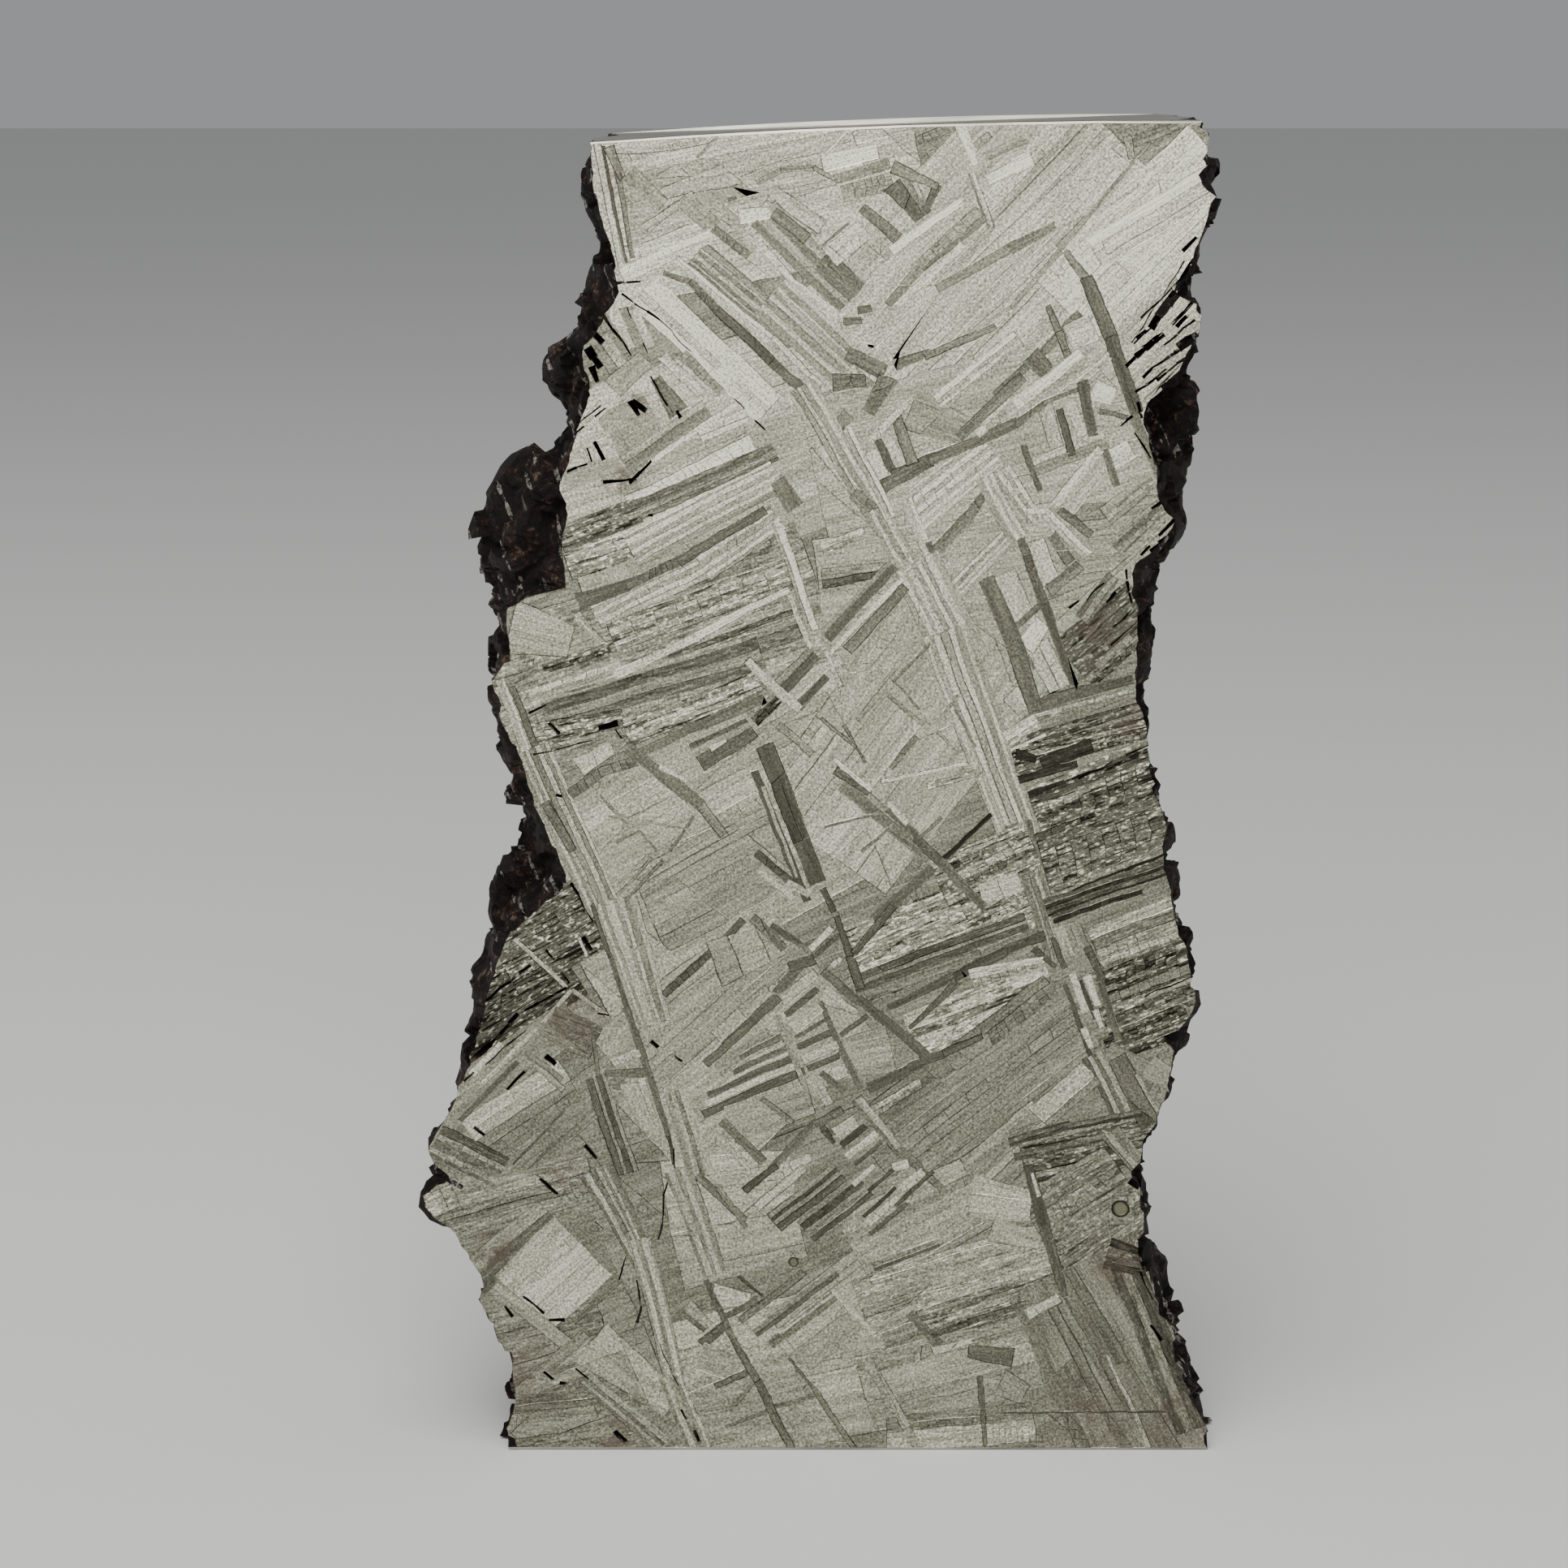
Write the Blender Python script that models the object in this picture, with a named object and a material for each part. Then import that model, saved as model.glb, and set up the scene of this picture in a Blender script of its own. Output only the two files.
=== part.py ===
"""Iron meteorite slice, standing on its bottom cut.

A thick slice sawn from an iron meteorite: the front and the back are flat cuts,
the top and the bottom are sawn square to them, and the left and right sides keep
the weathered outside of the mass, broken along its crystal plates.
X runs across the slice, Y from the front cut to the back cut, and Z up.
"""

import math

import bmesh
import bpy
from mathutils import Vector, noise

MM = 0.001

# Sizes of the slice, in millimetres.
THICKNESS = 10.0
LEFT_TOP = 57.9
RIGHT_TOP = 58.8
TOP_CROWN = 0.25

# The sides are pairs of height and reach: how far the edge stands out from the
# middle line at that height. Each side has the edge of the front cut, and the
# widest line of the weathered outside a few millimetres behind it.
LEFT_CUT = [
    (0.0, 13.9), (1.0, 14.1), (2.4, 13.6), (4.2, 13.7), (5.4, 14.3), (7.2, 15.0), (8.0, 15.0),
    (10.2, 16.3), (11.0, 17.2), (11.7, 17.6), (12.1, 16.9), (12.5, 16.2), (13.2, 17.1),
    (13.9, 17.3), (15.0, 16.6), (16.4, 15.8), (18.0, 15.5), (20.0, 14.8), (21.2, 14.5),
    (23.6, 13.5), (24.6, 12.6), (25.4, 11.4), (26.0, 10.9), (28.0, 11.8), (30.0, 12.6),
    (32.0, 13.3), (34.8, 14.2), (35.8, 13.5), (38.3, 13.4), (38.8, 11.0), (40.0, 11.0),
    (41.0, 11.2), (42.2, 10.8), (43.4, 11.3), (44.4, 10.7), (46.0, 10.3), (47.2, 9.8),
    (49.2, 10.3), (49.8, 9.6), (50.8, 9.2), (51.4, 8.6), (52.4, 8.8), (55.4, 9.4),
    (56.4, 9.7), (57.9, 9.75),
]
LEFT_WIDEST = [
    (0.0, 13.9), (1.0, 14.1), (2.4, 13.7), (4.2, 13.7), (5.4, 14.4), (7.2, 15.0), (9.0, 15.6),
    (10.2, 16.4), (11.0, 17.2), (11.7, 17.6), (12.7, 17.0), (13.7, 17.4), (15.0, 16.7),
    (16.4, 15.9), (19.4, 15.4), (21.0, 15.6), (22.0, 14.8), (22.9, 14.3), (23.9, 14.6),
    (25.4, 14.2), (26.6, 13.8), (29.8, 13.6), (32.2, 14.1), (34.2, 14.5), (35.4, 14.2),
    (36.5, 14.2), (38.0, 14.8), (39.6, 15.0), (40.7, 15.3), (42.0, 14.5), (43.8, 13.5),
    (44.1, 12.7), (45.3, 11.4), (46.2, 11.4), (47.6, 11.9), (48.9, 11.8), (49.8, 10.5),
    (51.4, 10.3), (53.0, 9.6), (54.0, 9.6), (55.4, 10.1), (56.8, 10.1), (57.9, 9.9),
]
RIGHT_CUT = [
    (0.0, 17.4), (1.0, 17.3), (2.0, 16.9), (4.0, 16.0), (5.0, 15.9), (7.0, 14.9), (9.0, 14.3),
    (12.2, 14.1), (12.8, 13.8), (13.4, 14.3), (14.4, 14.3), (15.0, 14.9), (18.4, 15.6),
    (18.9, 15.1), (19.5, 15.9), (20.5, 16.4), (22.0, 16.3), (24.2, 15.6), (26.2, 15.0),
    (29.0, 14.9), (31.0, 14.3), (32.4, 14.1), (34.4, 13.5), (37.6, 13.8), (38.6, 13.4),
    (39.8, 13.3), (41.0, 14.8), (41.8, 15.2), (42.6, 14.5), (44.0, 14.3), (46.2, 13.7),
    (46.8, 13.9), (48.2, 15.3), (49.4, 15.9), (50.7, 16.3), (51.2, 15.6), (51.6, 14.9),
    (52.2, 15.5), (54.0, 16.1), (55.8, 16.75), (56.1, 15.9), (56.7, 15.8), (57.2, 16.5),
    (58.8, 16.1),
]
RIGHT_WIDEST = [
    (0.0, 17.6), (1.0, 17.5), (2.8, 16.9), (4.0, 16.6), (6.6, 15.8), (9.0, 14.9), (12.4, 15.0),
    (14.4, 15.3), (17.8, 16.0), (18.6, 16.5), (19.8, 16.8), (21.2, 16.7), (25.4, 15.8),
    (28.4, 15.3), (29.4, 15.2), (30.4, 14.7), (31.4, 14.6), (32.4, 14.8), (35.6, 14.8),
    (36.8, 14.5), (37.6, 14.5), (39.6, 15.2), (41.6, 15.8), (43.6, 16.2), (47.8, 16.3),
    (49.4, 16.5), (50.4, 16.5), (51.0, 16.2), (53.0, 16.6), (55.4, 17.1), (56.4, 17.1),
    (57.2, 16.8), (58.8, 16.2),
]

# How the weathered sides are built up between the two cuts.
LEVELS = 128
STRIPS = 13
CROWN_CUTS = 5
WIDEST_DEPTH = 0.42
WIDEST_WANDER = 0.22
BACK_DRAW_IN = 0.9
BACK_DRAW_SPREAD = 0.8
SWELL = 0.7
SWELL_LENGTH = 5.0
RIDGE_WANDER_LENGTH = 3.1
BACK_EDGE_LENGTH = 2.6
JITTER = 0.24

# The ledges and pits fade out over these shares of the thickness, so that the
# widest line and the edge of the front cut keep their outlines.
FADE_AT_RIDGE = 0.2
FADE_AT_CUT = 0.1

# The share of the crystal plates that stay unbroken.
WHOLE_PLATES = 0.35

# The crystal plates that the sides broke along: the plate's slope on the front
# cut in degrees, how far it leans back, its spacing and the height of its step.
PLATES = [
    (-67.0, 0.45, 2.3, 0.85),
    (22.0, -0.35, 1.9, 0.75),
    (43.0, 0.60, 1.4, 0.80),
    (-40.0, -0.50, 2.7, 0.55),
]

# Weathered pits: side, height, distance behind the front cut, radius and depth.
PITS = [
    (-1, 41.0, 4.6, 2.2, 0.8),
    (-1, 27.6, 5.2, 1.9, 0.7),
    (-1, 17.2, 6.4, 1.7, 0.6),
    (-1, 53.2, 5.0, 1.8, 0.6),
    (-1, 6.4, 4.8, 1.6, 0.6),
    (1, 56.6, 1.4, 1.1, 0.5),
    (1, 45.4, 2.2, 1.9, 0.8),
    (1, 35.0, 5.6, 2.1, 0.7),
    (1, 22.6, 6.2, 1.9, 0.6),
    (1, 12.6, 2.6, 1.5, 0.7),
    (1, 5.0, 6.0, 1.8, 0.6),
]

METAL_COLOUR = (0.36, 0.35, 0.31, 1.0)


def clear_scene():
    """Remove the objects that a new file starts with."""
    for item in list(bpy.data.objects):
        bpy.data.objects.remove(item, do_unlink=True)


def reach_at(outline, height):
    """The reach of an outline at a height, straight between its points."""
    for (low, reach_low), (high, reach_high) in zip(outline, outline[1:]):
        if height <= high:
            share = (height - low) / (high - low)
            return reach_low + (reach_high - reach_low) * share
    return outline[-1][1]


def plate_step(side, reach, depth, height):
    """How far the broken plates set the side back at one place."""
    place = Vector((side * reach, depth, height))
    step = 0.0
    for number, (slope, lean, spacing, rise) in enumerate(PLATES):
        angle = math.radians(slope)
        normal = Vector((-math.sin(angle), lean, math.cos(angle))).normalized()
        layer = math.floor(place.dot(normal) / spacing)
        chance = noise.cell(Vector((layer + 0.5, number * 7.0 + 0.5, side * 3.0 + 0.5)))
        step += rise * max(chance - WHOLE_PLATES, 0.0) / (1.0 - WHOLE_PLATES)
    return step


def pit_depth(side, depth, height):
    """How deep the pits are at one place on a side."""
    total = 0.0
    for pit_side, pit_height, pit_back, radius, deep in PITS:
        if pit_side == side:
            away = math.hypot(height - pit_height, depth - pit_back) / radius
            total += deep * max(1.0 - away * away, 0.0)
    return total


def side_reach(side, share, height):
    """The reach of a side at a share of the thickness behind the front cut."""
    cut = reach_at(LEFT_CUT if side < 0 else RIGHT_CUT, height)
    widest = reach_at(LEFT_WIDEST if side < 0 else RIGHT_WIDEST, height)
    if share <= 0.0:
        return cut
    wander = noise.noise(Vector((height / RIDGE_WANDER_LENGTH, side * 9.0, 2.0)))
    ridge = WIDEST_DEPTH + WIDEST_WANDER * wander
    wobble = noise.noise(Vector((height / BACK_EDGE_LENGTH, side * 5.0, 8.0)))
    draw = BACK_DRAW_IN + BACK_DRAW_SPREAD * wobble
    if share < ridge:
        reach = cut + (widest - cut) * math.sin(0.5 * math.pi * share / ridge)
    else:
        reach = widest - draw * ((share - ridge) / (1.0 - ridge)) ** 2
    depth = share * THICKNESS
    off_ridge = min(abs(share - ridge) / FADE_AT_RIDGE, 1.0)
    off_front = min(share / FADE_AT_CUT, 1.0)
    swell = SWELL * abs(noise.noise(Vector((depth, height, side * 4.0)) / SWELL_LENGTH))
    set_back = plate_step(side, reach, depth, height) + pit_depth(side, depth, height) + swell
    return reach - set_back * off_ridge * off_front


def top_height(x):
    """The height of the sawn top at a place across the slice."""
    left = -LEFT_CUT[-1][1]
    right = RIGHT_CUT[-1][1]
    share = min(max((x - left) / (right - left), 0.0), 1.0)
    crown = 4.0 * TOP_CROWN * share * (1.0 - share)
    return LEFT_TOP + (RIGHT_TOP - LEFT_TOP) * share + crown


def edges_along(bm, axis):
    """The edges that run along one axis: 0 for X, 1 for Y, 2 for Z."""
    found = []
    for edge in bm.edges:
        run = edge.verts[1].co - edge.verts[0].co
        if abs(run[axis]) > 0.999 * run.length:
            found.append(edge)
    return found


def make_block(bm):
    """A unit block, cut into levels up its height and strips through its thickness."""
    bmesh.ops.create_cube(bm, size=1.0)
    bmesh.ops.translate(bm, verts=bm.verts, vec=(0.0, 0.5, 0.5))
    bmesh.ops.subdivide_edges(bm, edges=edges_along(bm, 2), cuts=LEVELS - 1, use_grid_fill=True)
    bmesh.ops.subdivide_edges(bm, edges=edges_along(bm, 1), cuts=STRIPS - 1, use_grid_fill=True)
    top = [e for e in edges_along(bm, 0) if min(v.co.z for v in e.verts) > 0.999]
    bmesh.ops.subdivide_edges(bm, edges=top, cuts=CROWN_CUTS, use_grid_fill=True)


def shape_block(bm):
    """Move the block's points onto the slice, in millimetres, with the front cut at y 0."""
    for vert in bm.verts:
        across = vert.co.x * 2.0
        share = vert.co.y
        rise = vert.co.z
        side = -1 if across < 0.0 else 1
        inside = 0.001 < share < 0.999 and 0.001 < rise < 0.999
        height = rise * (LEFT_TOP if side < 0 else RIGHT_TOP)
        if abs(across) < 0.999:
            left = -side_reach(-1, share, LEFT_TOP)
            right = side_reach(1, share, RIGHT_TOP)
            x = left + (right - left) * (across + 1.0) / 2.0
            vert.co = (x, share * THICKNESS, top_height(x))
            continue
        if inside:
            shift = noise.noise_vector(Vector((side * 11.0, share * 37.0, rise * 211.0)))
            share += JITTER * shift.y / THICKNESS
            height += JITTER * shift.z
        x = side * side_reach(side, share, height)
        if rise > 0.999:
            height = top_height(x)
        vert.co = (x, share * THICKNESS, height)


def centre_on_base(bm):
    """Put the middle of the box around the slice over the origin, with its base at z 0."""
    xs = [v.co.x for v in bm.verts]
    ys = [v.co.y for v in bm.verts]
    zs = [v.co.z for v in bm.verts]
    middle = Vector(((min(xs) + max(xs)) / 2.0, (min(ys) + max(ys)) / 2.0, min(zs)))
    bmesh.ops.translate(bm, verts=bm.verts, vec=-middle)


def metal_material():
    """Etched iron and nickel, greyed and slightly warm."""
    material = bpy.data.materials.new("etched_iron")
    material.use_nodes = True
    shader = material.node_tree.nodes["Principled BSDF"]
    shader.inputs["Base Color"].default_value = METAL_COLOUR
    shader.inputs["Metallic"].default_value = 1.0
    shader.inputs["Roughness"].default_value = 0.48
    return material


def build_slice(collection):
    """The slice, one closed solid."""
    bm = bmesh.new()
    make_block(bm)
    shape_block(bm)
    centre_on_base(bm)
    bmesh.ops.scale(bm, vec=(MM, MM, MM), verts=bm.verts)
    bmesh.ops.recalc_face_normals(bm, faces=bm.faces)
    bmesh.ops.triangulate(bm, faces=bm.faces)
    mesh = bpy.data.meshes.new("slice")
    bm.to_mesh(mesh)
    bm.free()
    mesh.materials.append(metal_material())
    body = bpy.data.objects.new("slice", mesh)
    collection.objects.link(body)
    return body


def main():
    clear_scene()
    collection = bpy.data.collections.new("iron_meteorite_slice")
    bpy.context.scene.collection.children.link(collection)
    build_slice(collection)


main()
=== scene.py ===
import math
import random
from dataclasses import dataclass, field

import bmesh
import bpy
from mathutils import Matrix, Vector, noise
from mathutils.geometry import tessellate_polygon
from mathutils.kdtree import KDTree


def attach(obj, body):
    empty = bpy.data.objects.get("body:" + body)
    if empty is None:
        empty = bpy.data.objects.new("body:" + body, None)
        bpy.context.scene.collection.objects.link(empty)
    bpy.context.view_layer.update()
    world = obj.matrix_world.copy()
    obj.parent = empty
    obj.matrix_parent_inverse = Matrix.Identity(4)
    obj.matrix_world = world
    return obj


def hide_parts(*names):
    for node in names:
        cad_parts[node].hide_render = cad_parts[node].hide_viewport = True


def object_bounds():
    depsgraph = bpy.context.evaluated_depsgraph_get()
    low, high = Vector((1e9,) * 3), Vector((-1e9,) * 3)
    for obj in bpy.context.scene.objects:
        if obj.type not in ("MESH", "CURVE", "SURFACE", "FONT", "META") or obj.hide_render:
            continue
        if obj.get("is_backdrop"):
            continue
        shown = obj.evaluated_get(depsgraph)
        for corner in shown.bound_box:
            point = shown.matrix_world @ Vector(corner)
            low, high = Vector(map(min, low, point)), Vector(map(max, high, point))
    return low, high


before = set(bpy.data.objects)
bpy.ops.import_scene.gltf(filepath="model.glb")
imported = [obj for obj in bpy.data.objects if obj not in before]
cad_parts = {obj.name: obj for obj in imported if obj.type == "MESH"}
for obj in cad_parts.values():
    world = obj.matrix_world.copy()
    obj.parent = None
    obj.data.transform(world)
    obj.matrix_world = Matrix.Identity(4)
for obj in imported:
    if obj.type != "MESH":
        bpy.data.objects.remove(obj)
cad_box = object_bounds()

# An iron meteorite slice: a thick sawn slab, its two broad cuts etched so that the
# crystal plates stand out, and its sides left as the weathered outside of the mass.
# Places on the front cut are in millimetres: across from the middle line, then up.

MM = 0.001
SEED = 4607

# The photograph's camera.
CAMERA_LENS = 96.9
CAMERA_SENSOR = 36.0
CAMERA_ACROSS = -1.6 * MM
CAMERA_FROM_CUT = 180.2 * MM
CAMERA_HEIGHT = 63.7 * MM
CAMERA_PITCH = 10.5

# The directions that the crystal plates run in on the cuts, in degrees from level.
STEEP = -67.0
LEVEL = 22.0
RISING = 43.0
FALLING = -40.0
DIRECTIONS = (STEEP, LEVEL, RISING, FALLING)

# The slab and its sawn flats.
THICKNESS = 10.0
FLAT_SLOPE = 1.2
SAWN_EDGE = 0.13
CRUST, FRONT, BACK, TOP, BASE, SAWN = range(6)
FLATS = {FRONT: (0, -1, 0), BACK: (0, 1, 0), TOP: (0, 0, 1), BASE: (0, 0, -1)}

# The crust: facets broken along the plates, large and small, and soft lumps.
CRUST_CUTS = 2
FACET_SIZES = (1.7, 0.7)
FACET_STRETCH = 0.5
FACET_TILT = 0.9
FACET_STEP = 0.22
CRUST_LUMPS = 0.15
CRUST_LIMIT = 0.45
OUTLINE_SHARE = 0.4
CRUST_LOW = 1.0
CRUST_HIGH = 57.0

# How the etched relief is built. A plate's rim is as wide as its own width allows.
RIM_WIDTHS = ((0.09, 0.014), (0.15, 0.022), (0.25, 0.034))
# How bright a rim is, from a dark line of painted shade along the plate's edge to a bright line of pale taenite, and
# how deep the plate lies.
RIM_SHADE_TAENITE_AND_DEPTH = ((-1.0, -0.010), (-1.0, -0.006), (-0.8, 0.006), (-0.5, -0.008), (-0.3, 0.008), (0.35, 0.010))
SHORTEST_EDGE = 0.03
MERGE_ROUNDS = 3
FOLDED = 0.0004
GAP_DEPTH = 0.9
TOO_SMALL = 0.004
NEAR_LINE = 0.02
ON_LINE = 0.002
SLIVER = 0.02
LINES_TAKEN = 0.97
NECK = 0.7
LONGEST_EDGE = {FRONT: 0.5, BACK: 1.2}
WANDER = 0.09
WANDER_LENGTH = 2.8
WAVER = 0.045
WAVER_LENGTH = 0.55
WARP_FROM_OUTLINE = 0.8

# What a face on a cut is, and what its metal looks like.
METAL, GAP, NODULE = 0, 1, 2
FINISH = ("tone", "lie", "ripple", "rim", "shift")


@dataclass
class Cut:
    """One broad cut of the slice while its plates are being marked out."""

    bm: bmesh.types.BMesh
    depth: float
    number: int
    layers: dict
    boxes: dict = field(default_factory=dict)
    owner: int = 0


def linear(colour):
    """An sRGB hex colour as linear light with full alpha."""
    values = []
    for start in (0, 2, 4):
        value = int(colour[start:start + 2], 16) / 255.0
        values.append(value / 12.92 if value <= 0.04045 else ((value + 0.055) / 1.055) ** 2.4)
    return (*values, 1.0)


def polygon_area(points):
    """The signed area of a flat outline."""
    total = 0.0
    for (ax, az), (bx, bz) in zip(points, points[1:] + points[:1]):
        total += ax * bz - bx * az
    return total / 2.0


def overlap(face, corners):
    """The area that a face shares with a convex outline given anticlockwise."""
    points = [(v.co.x, v.co.z) for v in face.verts]
    for (ax, az), (bx, bz) in zip(corners, corners[1:] + corners[:1]):
        kept = []
        sides = [(bx - ax) * (z - az) - (bz - az) * (x - ax) for x, z in points]
        for here, there, near, far in zip(points, points[1:] + points[:1], sides, sides[1:] + sides[:1]):
            if near >= 0.0:
                kept.append(here)
            if (near >= 0.0) != (far >= 0.0):
                share = near / (near - far)
                kept.append((here[0] + (there[0] - here[0]) * share, here[1] + (there[1] - here[1]) * share))
        points = kept
        if len(points) < 3:
            return 0.0
    return abs(polygon_area(points))


def box_of(face):
    """The box around a face: least and most across, least and most up."""
    xs = [v.co.x for v in face.verts]
    zs = [v.co.z for v in face.verts]
    return min(xs), max(xs), min(zs), max(zs)


def centre_of(face):
    """The middle of a face's area."""
    middle = face.calc_center_median_weighted()
    return middle.x, middle.z


def split(cut, faces, point, normal):
    """Cut faces along one straight line and return all the parts."""
    parts = []
    for face in faces:
        parts.extend(split_face(cut, face, point, normal))
    for part in parts:
        cut.boxes[part] = box_of(part)
    return parts


def split_face(cut, face, point, normal):
    """Cut one face along a straight line and return its parts."""
    verts = list(face.verts)
    reaches = [(v.co.x - point[0]) * normal[0] + (v.co.z - point[1]) * normal[1] for v in verts]
    reaches = [0.0 if abs(reach) < ON_LINE else reach for reach in reaches]
    if min(reaches) >= 0.0 or max(reaches) <= 0.0:
        return [face]
    met = []
    for number, here in enumerate(reaches):
        after = (number + 1) % len(verts)
        if here == 0.0 or here * reaches[after] < 0.0:
            met.append((number, after))
    if len(met) != 2:
        result = bmesh.ops.bisect_plane(
            cut.bm, geom=[face, *face.edges, *face.verts], dist=ON_LINE,
            plane_co=(point[0], cut.depth, point[1]), plane_no=(normal[0], 0.0, normal[1]),
        )
        return [g for g in result["geom"] if isinstance(g, bmesh.types.BMFace)]
    ends = []
    for number, after in met:
        vert = verts[number]
        if reaches[number] != 0.0:
            edge = cut.bm.edges.get((vert, verts[after]))
            share = reaches[number] / (reaches[number] - reaches[after])
            vert = bmesh.utils.edge_split(edge, vert, share)[1]
        ends.append(vert)
    return [face, bmesh.utils.face_split(face, *ends)[0]]


def claim(cut, corners, finish):
    """Mark out one plate: cut its outline into the faces it crosses and give it its finish."""
    if polygon_area(corners) < 0.0:
        corners = corners[::-1]
    low_x, high_x = min(c[0] for c in corners), max(c[0] for c in corners)
    low_z, high_z = min(c[1] for c in corners), max(c[1] for c in corners)
    touched = []
    for face, (left, right, low, high) in cut.boxes.items():
        if right > low_x and left < high_x and high > low_z and low < high_z:
            if overlap(face, corners) > TOO_SMALL:
                touched.append(face)
    sides = list(zip(corners, corners[1:] + corners[:1]))
    if len(sides) == 4:
        sides = sides[::2] + sides[1::2]
    for (ax, az), (bx, bz) in sides:
        length = math.hypot(bx - ax, bz - az)
        normal = ((bz - az) / length, (ax - bx) / length)
        inside, crossed = [], []
        for face in touched:
            reaches = [(v.co.x - ax) * normal[0] + (v.co.z - az) * normal[1] for v in face.verts]
            if max(reaches) < NEAR_LINE:
                inside.append(face)
            elif min(reaches) < -NEAR_LINE:
                crossed.append(face)
        if crossed:
            for part in split(cut, crossed, (ax, az), normal):
                x, z = centre_of(part)
                if (x - ax) * normal[0] + (z - az) * normal[1] < 0.0:
                    inside.append(part)
        touched = inside
    cut.owner += 1
    for face in touched:
        face[cut.layers["owner"]] = cut.owner
        for name, value in finish.items():
            face[cut.layers[name]] = value
    return touched


def band_corners(start, end, width, end_width=None):
    """The outline of a plate along a centre line, long sides first."""
    end_width = width if end_width is None else end_width
    along = Vector((end[0] - start[0], end[1] - start[1])).normalized()
    across = Vector((-along.y, along.x))
    a, b = Vector(start), Vector(end)
    corners = [
        a - across * width / 2.0, b - across * end_width / 2.0,
        b + across * end_width / 2.0, a + across * width / 2.0,
    ]
    return [tuple(corner) for corner in corners]


def slope_of(start, end):
    """The angle of a line on the cut, in radians from level."""
    return math.atan2(end[1] - start[1], end[0] - start[0])


def lay_plate(cut, start, end, width, tone, ripple=0.0, end_width=None, kind=METAL):
    """One straight plate of even brightness."""
    finish = {"tone": tone, "lie": slope_of(start, end), "ripple": ripple, "kind": kind}
    return claim(cut, band_corners(start, end, width, end_width), finish)


def lay_bundle(cut, chance, start, end, width, tone, spread=0.12, ripple=0.0, count=5, end_width=None):
    """A bundle of thin plates side by side, light and dark by turns."""
    end_width = width if end_width is None else end_width
    along = Vector((end[0] - start[0], end[1] - start[1])).normalized()
    across = Vector((-along.y, along.x))
    weights = [chance.uniform(0.5, 1.6) for _ in range(count)]
    total = sum(weights)
    reached = -0.5
    for number, weight in enumerate(weights):
        share = weight / total
        middle = reached + share / 2.0
        reached += share
        lift = spread if number % 2 else -spread
        lay_plate(
            cut, tuple(Vector(start) + across * middle * width),
            tuple(Vector(end) + across * middle * end_width), share * width,
            tone + lift * chance.uniform(0.4, 1.2), ripple, share * end_width,
        )


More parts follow.
